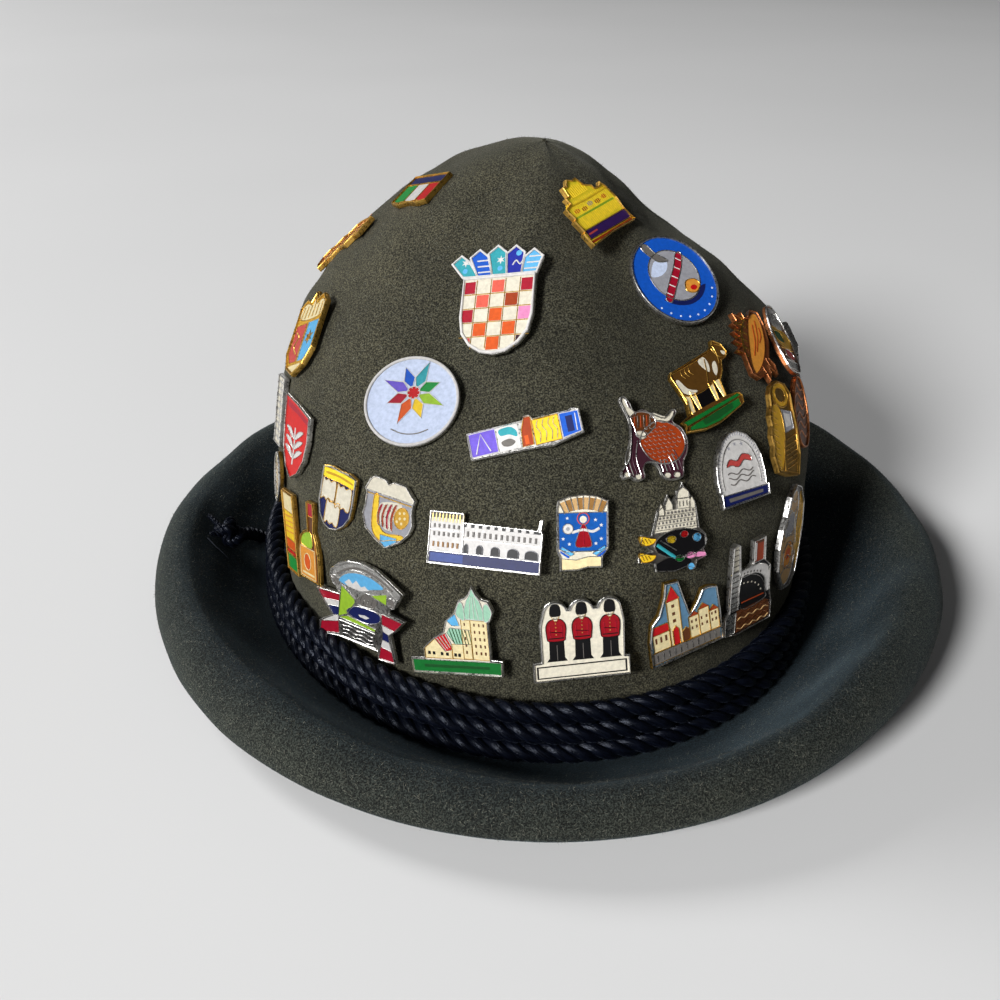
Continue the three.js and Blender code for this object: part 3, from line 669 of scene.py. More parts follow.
def loose_thread(side):
    """A thread that lies across the brim beside the knot."""
    up = np.array([0, 0, 1.0])
    w = np.linspace(0, 1, 50)[:, None]
    start, end = (brim(KNOT_ANGLE + turn, at) + up * 0.4 for turn, at in ((2.5, 4.2), (4.5, 3.3)))
    thread = start * (1 - w) + end * w + up * 0.4 * np.sin(np.pi * w) + side * 0.5 * np.sin(4 * w)
    return tube(thread, np.broadcast_to(up, thread.shape), THREAD_RADIUS, 6)


def make_knot(material, thread):
    normal = brim_normal(KNOT_ANGLE, KNOT_PLACE)
    across = unit(np.cross([0, 0, 1.0], normal))
    outward = -np.cross(across, normal)
    side = np.cross(normal, outward)
    basis = np.stack([outward, side, normal])
    origin = brim(KNOT_ANGLE, KNOT_PLACE) + normal * (KNOT_RISE + KNOT_RADIUS + CORD_GAP + 0.5)
    parts = [knot_loops(basis, origin), *knot_neck(basis, origin), knot_tail(basis, origin, -0.5, 9.5),
             knot_tail(basis, origin, 0.75, 8.0), loose_thread(side)]
    points, faces, uvs, indices = [], [], [], []
    for part in parts:
        first = len(points)
        points += list(part[0])
        faces += [tuple(first + i for i in face) for face in part[1]]
        uvs += part[2]
        indices += [1 if part is parts[-1] else 0] * len(part[1])
    piece = with_uvs(new_object("knot_strands", place(points), faces, [material, thread], indices), uvs)
    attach(piece, "root")
    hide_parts("cord_knot")


# Pins

# Each is a small vector drawing in millimetres, x to the right, y up, from the middle of its plate.
COLOURS = {"white": (208, 205, 202), "cream": (224, 208, 160), "ivory": (214, 207, 188),
           "grey": (150, 150, 156), "stone": (104, 100, 96), "black": (17, 16, 18), "red": (184, 26, 30),
           "crimson": (158, 24, 46), "orange": (206, 86, 34), "coral": (214, 92, 76),
           "pink": (216, 132, 176), "purple": (104, 84, 190), "plum": (64, 36, 46), "navy": (26, 34, 84),
           "blue": (26, 84, 184), "royal": (34, 44, 146), "sky": (92, 168, 216), "ice": (198, 210, 236),
           "teal": (52, 150, 160), "green": (32, 136, 62), "lime": (146, 184, 52),
           "mint": (146, 190, 164), "forest": (28, 78, 38), "yellow": (230, 192, 44),
           "gold": (196, 150, 44), "amber": (214, 142, 58), "brown": (92, 54, 30), "rust": (152, 60, 26),
           "tan": (188, 152, 104), "rose": (188, 74, 70), "guard": (138, 14, 28), "slate": (86, 122, 150),
           "spruce": (24, 104, 46), "umber": (84, 58, 26), "violet": (58, 34, 92),
           "lemon": (244, 220, 52), "scarlet": (200, 22, 16), "cobalt": (22, 82, 158),
           "denim": (44, 66, 134), "bronze": (142, 104, 58)}
METALS = {"gilt": ((212, 168, 84), 0.3), "silver": ((202, 200, 196), 0.28),
          "pewter": ((128, 124, 118), 0.42), "copper": ((176, 112, 72), 0.36),
          "dull_gilt": ((150, 118, 60), 0.42)}
PLATE_THICKNESS = 1.8
# Heights are measured from the top of a plate's rim, so the enamel's ground lies below zero.
FACE = -0.55
CELL_STEP = 0.008
POST_RADIUS = 0.6
CLUTCH_THICKNESS = 2.4
# The clutch, from its face inside the hat up towards the felt: radius, and height over that face.
CLUTCH = [(3.4, 0), (4.1, 0.25), (4.2, 0.8), (3.9, 1.2), (3.2, 1.5), (2.1, 2.1), (1.9, CLUTCH_THICKNESS),
          (0.5, CLUTCH_THICKNESS)]
# Painted shade: the pins at the left, which face the lamps, get darker copies of their enamels; each shade
# is for angles from the front below its limit.
LIT_SIDE_SHADES = [(-30, 0.62), (-15, 0.8)]
stock = {}


def linear(colour):
    return tuple((c / 255) ** 2.2 for c in colour)


def pin_material(name, tone):
    """Enamel or plated metal by name, made once. A painted shade below 1 darkens an enamel."""
    key = name if name in METALS or tone == 1 else f"{name}_{round(tone * 100)}"
    if key not in stock:
        if name in METALS:
            stock[key] = metal_material(key, linear(METALS[name][0]), METALS[name][1])
        else:
            stock[key] = enamel_material(key, scaled(linear(COLOURS[name]), tone))
    return stock[key]


def box(x0, y0, x1, y1):
    """A rectangle from its lower left to its upper right corner."""
    return [(x0, y0), (x1, y0), (x1, y1), (x0, y1)]


def oval_at(x, y, rx, ry=None, sides=32, start=0.0, stop=360.0):
    """Points on an oval, from one angle to another, anticlockwise from the right."""
    ry = rx if ry is None else ry
    full = stop - start >= 360
    t = np.radians(np.linspace(start, stop, sides, endpoint=not full))
    return [(x + rx * math.cos(a), y + ry * math.sin(a)) for a in t]


def blob(*points, steps=5, closed=True):
    """A smooth line through the points."""
    p = np.array(points, float)
    n = len(p)
    if not closed:
        p = np.vstack([2 * p[0] - p[1], p, 2 * p[-1] - p[-2]])
    out = []
    for i in range(n if closed else n - 1):
        a, b, c, d = ([p[(i + k) % n] for k in (-1, 0, 1, 2)] if closed else p[i:i + 4])
        out += [catmull(a, b, c, d, f) for f in np.linspace(0, 1, steps, endpoint=False)]
    return out if closed else [*out, p[-2]]


def curve(*points, steps=5):
    """A smooth open line through the points."""
    return blob(*points, steps=steps, closed=False)


def gable(x, half, low, high, peak):
    """An upright shape with a pointed top."""
    return [(x - half, low), (x + half, low), (x + half, high), (x, peak), (x - half, high)]


def star(x, y, radius, points=5, inner=0.42, turn=90.0):
    """A star about x, y. Inner is the share of the radius that its hollows have."""
    out = []
    for k in range(2 * points):
        a = math.radians(turn + 180 * k / points)
        reach = radius * (inner if k % 2 else 1)
        out.append((x + reach * math.cos(a), y + reach * math.sin(a)))
    return out


def area_of(outline):
    x, y = np.asarray(outline, float).T
    return 0.5 * np.sum(x * np.roll(y, -1) - np.roll(x, -1) * y)


def anticlockwise(outline):
    p = np.asarray(outline, float)
    return p if area_of(p) > 0 else p[::-1]


def clip(outline, region):
    """The part of an outline that lies inside a region with no hollows in its edge."""
    out = [tuple(p) for p in anticlockwise(outline)]
    edge = anticlockwise(region)
    for a, b in zip(edge, np.roll(edge, -1, 0)):
        def side(p):
            return (b[0] - a[0]) * (p[1] - a[1]) - (b[1] - a[1]) * (p[0] - a[0])
        kept = []
        for p, q in zip(out, out[1:] + out[:1]):
            sp, sq = side(p), side(q)
            if sp >= 0:
                kept.append(p)
            if sp * sq < 0:
                f = sp / (sp - sq)
                kept.append((p[0] + (q[0] - p[0]) * f, p[1] + (q[1] - p[1]) * f))
        out = kept
        if len(out) < 3:
            return []
    return out


def inset(outline, distance):
    """An anticlockwise outline moved inwards."""
    ahead, behind = np.roll(outline, -1, 0) - outline, outline - np.roll(outline, 1, 0)
    left = [unit(np.stack([-v[:, 1], v[:, 0]], 1)) for v in (behind, ahead)]
    mitre = unit(left[0] + left[1])
    return outline + mitre * (distance / np.clip((mitre * left[0]).sum(1), 0.55, 1))[:, None]


class Pin:
    """Collects the faces of one pin: a struck plate, enamel cells and raised metal lines."""

    def __init__(self, metal):
        self.metal = metal
        self.level = FACE + 0.06
        self.points, self.faces, self.indices, self.names = [], [], [], []

    def index(self, name):
        """The number of a material in this pin."""
        if name not in self.names:
            self.names.append(name)
        return self.names.index(name)

    def add(self, points, faces, name):
        first = len(self.points)
        self.points += [tuple(p) for p in points]
        self.faces += [tuple(first + i for i in face) for face in faces]
        self.indices += [self.index(name)] * len(faces)

    def rings(self, rings, heights, name, closed_below=False):
        """A solid from outlines with equal numbers of points, one above the other."""
        n = len(rings[0])
        points = [(x, y, z) for ring, z in zip(rings, heights) for x, y in ring]
        faces = [(r * n + i, r * n + (i + 1) % n, (r + 1) * n + (i + 1) % n, (r + 1) * n + i)
                 for r in range(len(rings) - 1) for i in range(n)]
        faces.append(tuple(range((len(rings) - 1) * n, len(rings) * n)))
        if closed_below:
            faces.append(tuple(reversed(range(n))))
        self.add(points, faces, name)

    def plate(self, outline, rim, face=None, rim_name=None):
        """The struck plate with a raised rim, and its ground of enamel."""
        edge = anticlockwise(outline)
        self.rings([inset(edge, 0.2), edge, edge, inset(edge, 0.15)],
                   [-PLATE_THICKNESS, -PLATE_THICKNESS + 0.2, FACE - 0.1, FACE], self.metal, True)
        self.line(inset(edge, rim / 2 + 0.03), rim, rim_name, True, top=-0.02)
        if face:
            self.cell(face, inset(edge, rim * 0.6))

    def cell(self, name, outline, width=0, edge=None):
        """A patch of enamel, a little above the last one, with a line round it if the width says so."""
        if len(outline) < 3:
            return
        self.level = min(self.level + CELL_STEP, -0.2)
        shape = anticlockwise(outline)
        size = math.sqrt(abs(area_of(shape)))
        bevel = min(0.09, size * 0.05)
        heights = [FACE - 0.02, self.level - bevel * 0.6, self.level]
        self.rings([shape, shape, inset(shape, bevel)], heights, name)
        if width:
            self.line(shape, width, edge, True)

    def line(self, points, width=0.3, name=None, closed=False, top=None):
        """A raised round line, of the pin's own metal if no name is given."""
        p = np.asarray(points, float)
        if closed:
            ahead = np.roll(p, -1, 0) - np.roll(p, 1, 0)
        else:
            ahead = np.gradient(p, axis=0)
        ahead = unit(ahead)
        across = np.stack([-ahead[:, 1], ahead[:, 0]], 1)
        top = min(self.level + 0.16, -0.05) if top is None else top
        low = FACE - 0.02
        middle = low + (top - low) * 0.72
        profile = [(-0.5, low), (-0.42, middle), (-0.18, top), (0.18, top), (0.42, middle), (0.5, low)]
        n, m = len(p), len(profile)
        verts = [(*(p[i] + across[i] * width * o), z) for i in range(n) for o, z in profile]
        faces = []
        for i in range(n if closed else n - 1):
            j = (i + 1) % n
            faces += [(i * m + k + 1, i * m + k, j * m + k, j * m + k + 1) for k in range(m - 1)]
        if not closed:
            faces.append(tuple(range(m)))
            faces.append(tuple((n - 1) * m + k for k in reversed(range(m))))
        self.add(verts, faces, name or self.metal)

    def hatch(self, count, start, end, step, width=0.3, names=(None,), end_step=None):
        """A row of straight lines, each a step from the last, with the names used in turn."""
        (x0, y0), (dx0, dy0) = start, step
        (x1, y1), (dx1, dy1) = end, end_step or step
        for k in range(count):
            ends = [(x0 + dx0 * k, y0 + dy0 * k), (x1 + dx1 * k, y1 + dy1 * k)]
            self.line(ends, width, names[k % len(names)])

    def waves(self, count, left, right, top, gap, height, rate, shift, width, names, points):
        """Wavy lines, each a gap below the last, with the names used in turn."""
        x = np.linspace(left, right, points)
        for k in range(count):
            y = top - gap * k + height * np.sin(rate * x + shift * k)
            self.line(np.stack([x, y], 1), width, names[k % len(names)])

    def windows(self, name, xs, ys, half, below, above):
        """Rows of upright panes, each half as wide to either side of its place."""
        for y in ys:
            for x in xs:
                self.cell(name, box(x - half, y - below, x + half, y + above))

    def dots(self, name, places, radius, sides):
        """Small round cells."""
        for x, y in places:
            self.cell(name, oval_at(x, y, radius, sides=sides))

    def lathe(self, profile, name, sides):
        """A turned form about the pin's own axis, from (radius, height) pairs."""
        turn = np.arange(sides) / sides * 2 * np.pi
        rings = [[(r * math.cos(a), r * math.sin(a)) for a in turn] for r, _ in profile]
        self.rings(rings, [z for _, z in profile], name, True)


ART = {}


def art(metal):
    """Keeps a drawing under its pin's name, with the metal that the pin is struck from."""
    def keep(draw):
        ART[draw.__name__] = (metal, draw)
        return draw
    return keep


def turned(points, degrees):
    """Points turned about the middle of the plate."""
    c, s = math.cos(math.radians(degrees)), math.sin(math.radians(degrees))
    return [(x * c - y * s, x * s + y * c) for x, y in points]


@art("silver")
def chequered_shield(p):
    lean, left, high, size = 5, -9.2, 5.2, 4.3
    body = turned([(-9.4, 6.4), (-9.2, -6), (-8.2, -11), (-5.6, -14.6), (-2, -16.8), (1.8, -17.5),
                   (5.8, -16.8), (9.4, -14.4), (11.8, -11), (12.7, -6), (12.5, 6.4)], lean)
    # Five upright fields stand along the top, wider apart at their tips than at their feet.
    foot, foot_step, tip, tip_step, low = -9.4, 4.38, -13.2, 5.44, 6.4
    fields = []
    for k, peak in enumerate((12.4, 13.8, 14.6, 14.1, 12.6)):
        b0, b1 = foot + k * foot_step, foot + (k + 1) * foot_step
        t0, t1 = tip + k * tip_step, tip + (k + 1) * tip_step
        fields.append(turned([(b0, low), (b1, low), (t1, peak - 1.4), ((t0 + t1) / 2, peak + 0.9),
                              (t0, peak - 1.4)], lean))
    for field in fields:
        edge = anticlockwise(field)
        p.rings([edge, edge, inset(edge, 0.2)], [-PLATE_THICKNESS, FACE - 0.1, FACE], p.metal, True)
    p.plate(body, 0.9, "ivory", "white")
    inner = inset(anticlockwise(body), 0.8)
    colours = [("crimson", "coral", "crimson"), ("coral", "rust", "plum"), ("crimson", "orange", "pink"),
               ("orange", "orange", "plum"), ("rose", "orange", "plum"), ("orange", "rust", "plum")]
    for row, names in enumerate(colours):
        y = high - size * (row + 1)
        columns = (0, 2, 4) if row % 2 == 0 else (1, 3)
        for name, column in zip(names, columns):
            x = left + size * column
            square = box(x + 0.3, y + 0.25, x + size - 0.3, y + size - 0.25)
            p.cell(name, clip(turned(square, lean), inner))
    for k in range(1, 5):
        x = left + size * k
        p.line(turned([(x, high), (x, -15.6)], lean), 0.3, "gilt", top=p.level + 0.03)
    for k in range(1, 5):
        y = high - size * k
        p.line(turned([(-8.6, y), (12, y)], lean), 0.3, "gilt", top=p.level + 0.03)
    for k, (field, name) in enumerate(zip(fields, ("teal", "blue", "teal", "royal", "sky"))):
        middle = foot + (k + 0.5) * foot_step
        p.cell(name, inset(anticlockwise(field), 0.35))
        if k in (1, 4):
            for y in (7.6, 9.4, 11.2):
                x = middle + (k - 2) * (y - low) * 0.17
                p.line(turned([(x - 1.9, y), (x + 1.9, y)], lean), 0.5, "white")
        elif k == 3:
            x = middle + 0.9
            wave = curve((x - 1.6, 9), (x - 0.6, 10.4), (x + 0.6, 9.2), (x + 1.6, 10.6))
            p.line(turned(wave, lean), 0.5, "white")
            p.cell("sky", turned(oval_at(x, 12.6, 0.9), lean))
        else:
            x = middle + (k - 2) * 0.9
            p.cell("white", turned(star(x, 11.0, 1.5, 6), lean))
            p.cell("sky", turned(oval_at(x, 8.4, 0.8), lean))
        p.line(field, 0.8, "white", True, top=-0.05)


@art("silver")
def round_star(p):
    p.plate(oval_at(0, 0, 13.9, 13.2, 56), 0.9, "ice", "white")
    names = ("green", "teal", "blue", "purple", "crimson", "orange", "yellow", "lime")
    x, y = 0.4, 2.4
    for k, name in enumerate(names):
        reach = 9.8 if k % 2 else 8.0
        petal = [(1.4, 0), (4.6, -0.38), (reach, 0), (4.6, 0.38)]
        middle = math.radians(22.5 + 45 * k)
        outline = [(x + r * math.cos(middle + a), y + r * math.sin(middle + a)) for r, a in petal]
        p.cell(name, outline, 0.35, "white")
    p.cell("red", oval_at(x, y, 1.9), 0.35, "white")
    p.line(curve((x - 5.4, -8.2), (x - 2.6, -9.3), (x, -9.6), (x + 2.6, -9.3), (x + 5.4, -8.2)), 0.35,
           "pewter")


@art("silver")
def block_bar(p):
    p.plate([(-15.4, -3.9), (-8, -4.3), (0, -4.6), (7, -5.2), (11, -4.4), (15.6, -3.4), (15.6, 3.2),
             (13.5, 3.9), (12.6, 3.4), (3, 3.5), (2.2, 4.7), (0.6, 4.7), (0, 3.6), (-15.4, 3.6)], 0.35)
    p.cell("purple", box(-14.9, -3.3, -7.6, 3.2), 0.3, "white")
    p.line([(-13.6, -2.6), (-11.6, 2.6), (-9.6, -2.6)], 0.4, "white")
    p.cell("white", box(-7.2, -3.5, -1.4, 3.2))
    p.cell("teal", blob((-6.6, 2.6), (-3.4, 2.8), (-1.8, 1.2), (-2, -0.4), (-4, 0.6), (-6.4, 0.8)))
    p.cell("stone", blob((-6.4, -0.8), (-4, -0.4), (-2.6, -1.6), (-4, -2.6), (-6, -2.2)))
    p.cell("rust", [(-1, -3.6), (2, -3.6), (2.4, 4.2), (0.6, 4.2), (-0.6, 1)], 0.3, "gilt")
    p.cell("orange", box(-0.2, -3.2, 1, -0.6))
    p.cell("yellow", box(2.6, -3.9, 9.6, 3.0), 0.3, "gilt")
    for x in (3.8, 5.4, 7, 8.4):
        p.line(curve((x, -3.4), (x + 0.5, -1), (x - 0.3, 1), (x + 0.3, 2.6)), 0.28)
    p.cell("blue", [(10, -3.7), (15.1, -3), (15.1, 2.8), (10, 3.0)], 0.3, "white")
    p.cell("navy", box(11.4, -2.6, 13.4, 2))
    p.line([(14, -2.6), (14.2, 2.2)], 0.3, "white")


@art("gilt")
def gold_castle(p):
    p.plate([(-13, -9.6), (-13.2, -5), (-12.2, -4.6), (-12.8, -0.6), (-11.8, -0.2), (-12.4, 3.4),
             (-9, 4.2), (-9.2, 6.2), (-7.2, 6.4), (-6.8, 9.4), (-4.6, 9.2), (-2.6, 11), (-0.4, 10),
             (1.6, 10.4), (3, 7.4), (6, 6.2), (6.2, 5), (9, 4.8), (10.4, 6), (11.6, 4), (12.6, -0.6),
             (11.9, -4.4), (12.8, -9.4), (0, -8.9)], 0.5, "lemon")
    rows = [(-10.8, 10.6, 3.6, 4.4), (-11.4, 11, -0.2, 3.2), (-11.8, 11.4, -4, -0.8)]
    for x0, x1, y0, y1 in rows:
        for x in np.arange(x0, x1, 0.95):
            p.line([(x, y0), (x + 0.05, y1)], 0.4, "yellow", top=p.level + 0.1)
    for x in np.arange(-6, 3.2, 1.0):
        p.line([(x, 5.2), (x, 8.8 - 0.28 * abs(x + 2))], 0.4, "yellow")
    p.line([(-11.6, 3.5), (0, 3.1), (11.2, 3.3)], 0.6, "yellow")
    p.cell("lime", [(-11.6, -0.6), (11.2, -1.0), (11.2, -0.2), (-11.6, 0.2)])
    for x, y, rx, name in ((-8, 1.4, 1.6, "orange"), (-4.2, 1, 1.5, "rust"), (-0.4, 1.6, 1.5, "grey"),
                           (3.6, 1.1, 1.7, "rust"), (7.6, 1.4, 1.4, "orange")):
        p.cell(name, oval_at(x, y, rx, 0.75, 16))
    p.cell("violet", [(-11.8, -7.4), (11.8, -8), (11.8, -4.9), (-11.6, -4.5)], 0.35)
    p.cell("rose", box(-11, -6.3, -6, -5.6))
    p.cell("rust", [(-12.2, -8.7), (12, -9), (12, -8.3), (-12, -7.9)])


@art("silver")
def round_blue(p):
    p.plate(oval_at(0, 0, 14.2, 14.9, 56), 0.8, "blue")
    p.cell("navy", clip(oval_at(0.6, 0.4, 10.2, 9.4, 40), box(-12, -10, 12, -4.6)))
    p.cell("grey", oval_at(0.6, 1.2, 8.5, 8.5, 40), 0.4)
    p.cell("ice", blob((-7, 3.4), (-3, 7.4), (1, 6.2), (-0.6, 3.6), (-4, 2.4)))
    p.cell("stone", blob((-4.6, 12.6), (-2.4, 13.2), (-1, 9.6), (1.6, 6.2), (-1.6, 6.6), (-3.4, 9)), 0.35)
    p.cell("crimson", blob((-7, -4.6), (-5.6, -6), (-1, -2.2), (4.6, 2.8), (7.4, 6.8), (5.6, 7.4),
                           (2, 3.6), (-3, -0.6)), 0.35)
    for x, y in ((-5, -3.6), (-2.4, -1.6), (0.2, 0.6), (2.8, 3), (5, 5.4)):
        p.line([(x - 0.7, y + 0.8), (x + 0.8, y - 0.7)], 0.35, "white")
    p.cell("amber", blob((1.4, -4.6), (3, -1.8), (6.2, -2), (7, -4.2), (4.2, -6)), 0.3, "gilt")
    p.cell("red", oval_at(4.4, -4.4, 1.3, 0.9))
    for k in range(9):
        a = math.radians(212 + 14.5 * k)
        p.cell("ice", oval_at(12.1 * math.cos(a), 12.6 * math.sin(a), 0.35, sides=8))


@art("silver")
def shaggy_cow(p):
    outline = blob((-6.2, 10.4), (-4.6, 11.4), (-3.2, 9.2), (-2.6, 6.8), (0, 7.2), (2.8, 5.6), (6, 4.2),
                   (9.2, 6.4), (10.3, 5.2), (8.4, 2.8), (10.6, 0.8), (11.5, -2.6), (10.6, -6),
                   (8.6, -8.6), (7.4, -12.6), (4.6, -13.2), (2, -12.8), (0.8, -11.4), (0, -8.4),
                   (-2.4, -7.6), (-4, -9.2), (-4.2, -11.6), (-6.8, -12.2), (-8.4, -11), (-10.8, -11.2),
                   (-10.8, -9), (-7.8, -6), (-5.6, 0), (-4.9, 3.6), (-5.4, 6.6), steps=3)
    p.plate(outline, 0.35, "plum")
    for k in range(15):
        x = -8.6 + 1.15 * k
        top = -2 + 0.25 * k if x < -1.5 else -7.4 + 0.12 * (x - 3) ** 2
        if -4.4 < x < 0.9:
            continue
        p.line(curve((x * 0.8 + 0.4, top), (x - 0.2, (top - 10.6) / 2), (x, -10.6)), 0.34,
               ("silver", "stone", "plum")[k % 3])
    for x, y in ((-9.2, -10.2), (-6.2, -11.1), (2.6, -11.8), (5.6, -12)):
        p.cell("ivory", oval_at(x, y, 1, 0.8, 10), 0.3)
    body = blob((-0.8, 1.6), (-2.6, -0.6), (-3, -3), (-1.2, -6.6), (2, -8.4), (6.4, -8), (9.6, -5.6),
                (10.7, -2.4), (9.6, 0.8), (6.6, 2.8), (3, 3.4), steps=3)
    p.cell("rust", body, 0.45)
    for row in range(9):
        y = 2 - 1.15 * row
        left = -1.4 - 0.5 * min(row, 3) + 0.7 * max(row - 5, 0)
        right = 6.6 + 1.1 * min(row, 3) - 1.0 * max(row - 4, 0)
        for k in range(int((right - left) / 1.5)):
            x = left + 0.7 + 1.5 * k + 0.5 * (row % 2)
            p.line(curve((x, y), (x + 0.5, y - 0.5), (x + 1.0, y - 0.35), steps=3), 0.24,
                   top=p.level + 0.1)
    p.cell("ivory", blob((-3.9, 5.2), (-5.6, 8), (-5.3, 10.6), (-4.4, 10.4), (-3.9, 8.2), (-2.2, 6.2)), 0.3)
    p.cell("ivory", blob((2, 5), (5, 2.9), (7.8, 3.3), (9.5, 5.4), (8.8, 5.8), (6.4, 4.6), (3.2, 5.9)), 0.3)
    head = blob((-4, 5.4), (-1, 6.6), (2.4, 5.4), (3, 2.6), (0.6, 0.6), (-1.8, -0.4), (-3.4, 0.4),
                (-3.8, 3))
    p.cell("brown", head, 0.4)
    for k in range(6):
        x = -2.9 + 0.95 * k
        p.line(curve((x, 5.4), (x - 0.3, 3.8), (x - 0.7, 2.2)), 0.3, ("rust", "silver")[k % 2])
    p.cell("ivory", blob((-3.4, 1.2), (-1.4, 1), (-0.9, -0.4), (-2.2, -1.1), (-3.6, 0)), 0.25)


@art("gilt")
def meadow_cow(p):
    outline = [(-9.6, 7), (-8.4, 8.2), (0, 8.8), (8.6, 9.4), (10.6, 10.2), (11.4, 11.6), (12.4, 11),
               (14, 9.4), (14.3, 6.6), (13, 5.2), (10.6, 4.8), (8.6, 2), (5.6, -0.6), (4.4, -4.6),
               (8.8, -5.4), (9.6, -6.8), (8.4, -9), (5, -9.6), (-3, -10.8), (-9, -10.6), (-15.8, -8.8),
               (-14.8, -7), (-15.6, -5.6), (-11.4, -4.8), (-9.6, -1)]
    p.plate(outline, 0.4, "umber")
    p.cell("black", [(-7.4, 0.4), (4.6, 0.4), (3.4, -4.6), (-8.4, -4.8)])
    legs = [[(-9.4, 2), (-7.2, 0), (-8.8, -4.8), (-10.2, -5)],
            [(-6.6, 1), (-5, 0), (-6.2, -4.8), (-7.2, -4.8)],
            [(1, 0.6), (2.8, 0.4), (1.2, -4.8), (0.2, -4.8)],
            [(3.6, 0.6), (5.6, 0.4), (4.2, -4.8), (3.2, -4.8)]]
    for leg in legs:
        p.cell("cream", leg, 0.25)
    body = blob((-9.2, 6.6), (-8, 7.6), (-3, 7.7), (3, 8.1), (8.4, 8.8), (10.8, 9.6), (9.6, 5), (7, 2.2),
                (3.4, 0.3), (-2, -0.6), (-6.6, -0.4), (-9, 1.2), steps=3)
    p.cell("umber", body, 0.3)
    p.cell("ivory", blob((-8.7, 5), (-7.3, 5.4), (-6.2, 2), (-3.4, 0.2), (-6.6, -0.1), (-8.6, 1.4),
                         steps=3))
    p.cell("ivory", blob((2.6, 7.6), (5.4, 8.2), (5.8, 6), (4.4, 3.4), (3.2, 4.6), steps=3))
    for k in range(3):
        p.line(curve((-5 + 1.6 * k, 7.2), (-5.4 + 1.6 * k, 6), (-4.8 + 1.6 * k, 4.8)), 0.22)
    p.cell("ivory", blob((6.8, 5.2), (8.4, 5.6), (7.6, 3.2), (5.6, 1.6), (5.6, 3.2), steps=3))
    p.line(curve((1.4, 1), (3.4, 4), (5.2, 7.4)))
    p.cell("umber", blob((9.8, 9.6), (12.2, 9.8), (14, 8), (14, 5.9), (12.2, 5.6), (10.4, 6.6), steps=3),
           0.25)
    p.cell("ivory", blob((12.4, 7.6), (13.7, 7), (13.6, 6), (12.4, 6.2)))
    p.cell("tan", [(10.9, 10), (11.5, 11.4), (12.2, 10.1)])
    p.line([(8, 9), (12, 10.4)], 0.35)
    p.cell("spruce", [(-14.8, -5.9), (8.4, -5.6), (8.8, -6.6), (-15, -7.4)], 0.25)
    p.cell("spruce", [(-13.6, -7.8), (7.6, -6.9), (7, -9.2), (-3, -10.3), (-9, -10.1), (-14.4, -8.7)], 0.3)
    p.cell("forest", [(-8.6, -7.6), (4.6, -7.2), (4, -8.9), (-3, -9.6), (-8.6, -9.4)])


@art("silver")
def white_arch(p):
    p.plate([(-9.9, -5.2), (-9.6, -2), (-8.4, 1.8), (-6.4, 5.2), (-3.6, 8.2), (-0.6, 9.8), (3, 10),
             (6.2, 8.4), (8.6, 5.4), (9.6, 1.6), (9.4, -3), (8.6, -6.4), (9.4, -6.8), (8.6, -10),
             (-10.2, -10), (-9.4, -6)], 0.4, "white")
    arch = curve((-8.6, -5.4), (-8.2, -1.6), (-6.8, 2.2), (-4.2, 6), (-0.6, 8.6), (3, 8.8), (6, 7.2),
                 (7.9, 4.4), (8.6, 0.6), (8.4, -3), (7.8, -6.2), steps=4)
    for a, b in zip(arch[::2], arch[1::2]):
        a, b = np.array(a), np.array(b)
        out = unit((a + b) / 2 - np.array([0.2, -1]))
        for q in (a, b):
            p.line([q - out * 0.3, q + out * 0.8], 0.3, "grey", top=p.level + 0.12)
    p.line([np.array(q) * 0.88 + np.array([0, -0.4]) for q in arch])
    for x, y in ((-1.6, 5.6), (1, 6.4), (3.6, 5.9)):
        p.cell("grey", star(x, y, 0.8))
    p.cell("rose", blob((-4.6, 0.8), (-2.6, 2.6), (0, 1.8), (2.6, 3.2), (5.4, 2.2), (5.4, 0.6),
                        (2.6, 1.4), (0, 0), (-2.6, 0.9)), 0.25)
    p.waves(3, -4.8, 5.2, top=-1.4, gap=1.3, height=0.45, rate=1.25, shift=1.4, width=0.34,
            names=["stone"], points=22)
    p.cell("navy", [(-9.8, -6.5), (8.9, -7.1), (8.2, -9.6), (-9.7, -9.6)], 0.35)
    p.cell("stone", [(-7.2, -7.5), (6.8, -7.9), (6.4, -8.9), (-7, -8.7)])


@art("gilt")
def gate_shield(p):
    p.plate([(-7.3, 8.2), (-4, 8.9), (0, 8.6), (4, 8.8), (7, 8), (7.2, 0), (6.8, -3.6), (4.8, -6.6),
             (2, -8.6), (-0.8, -9.2), (-3.6, -8.4), (-6, -5.8), (-7.2, -2)], 0.5, "navy", "silver")
    p.cell("lemon", [(-7, 7.9), (0, 8.3), (6.7, 7.7), (6.8, 4.9), (0, 5.2), (-7, 5)], 0.3)
    p.cell("gold", blob((-5.6, 6.9), (0, 7.2), (5.4, 6.6), (5.4, 5.9), (0, 6.4), (-5.6, 6.1), steps=3))
    for x0, x1, y0, y1 in ((-6.7, -0.9, -1, 4.6), (-0.3, 5.9, -1.8, 4.4), (-3.9, 2, -7.4, -1.2)):
        xs, wave = np.linspace(x0, x1, 6), 0.35
        top = [(x, y1 + wave * (-1) ** k) for k, x in enumerate(xs)]
        low = [(x, y0 + wave * (-1) ** k) for k, x in enumerate(xs[::-1])]
        p.cell("ivory", blob(*top, *low, steps=3), 0.3)
    p.line([(-0.6, 3.6), (-0.7, -0.6)], 0.5, "brown")


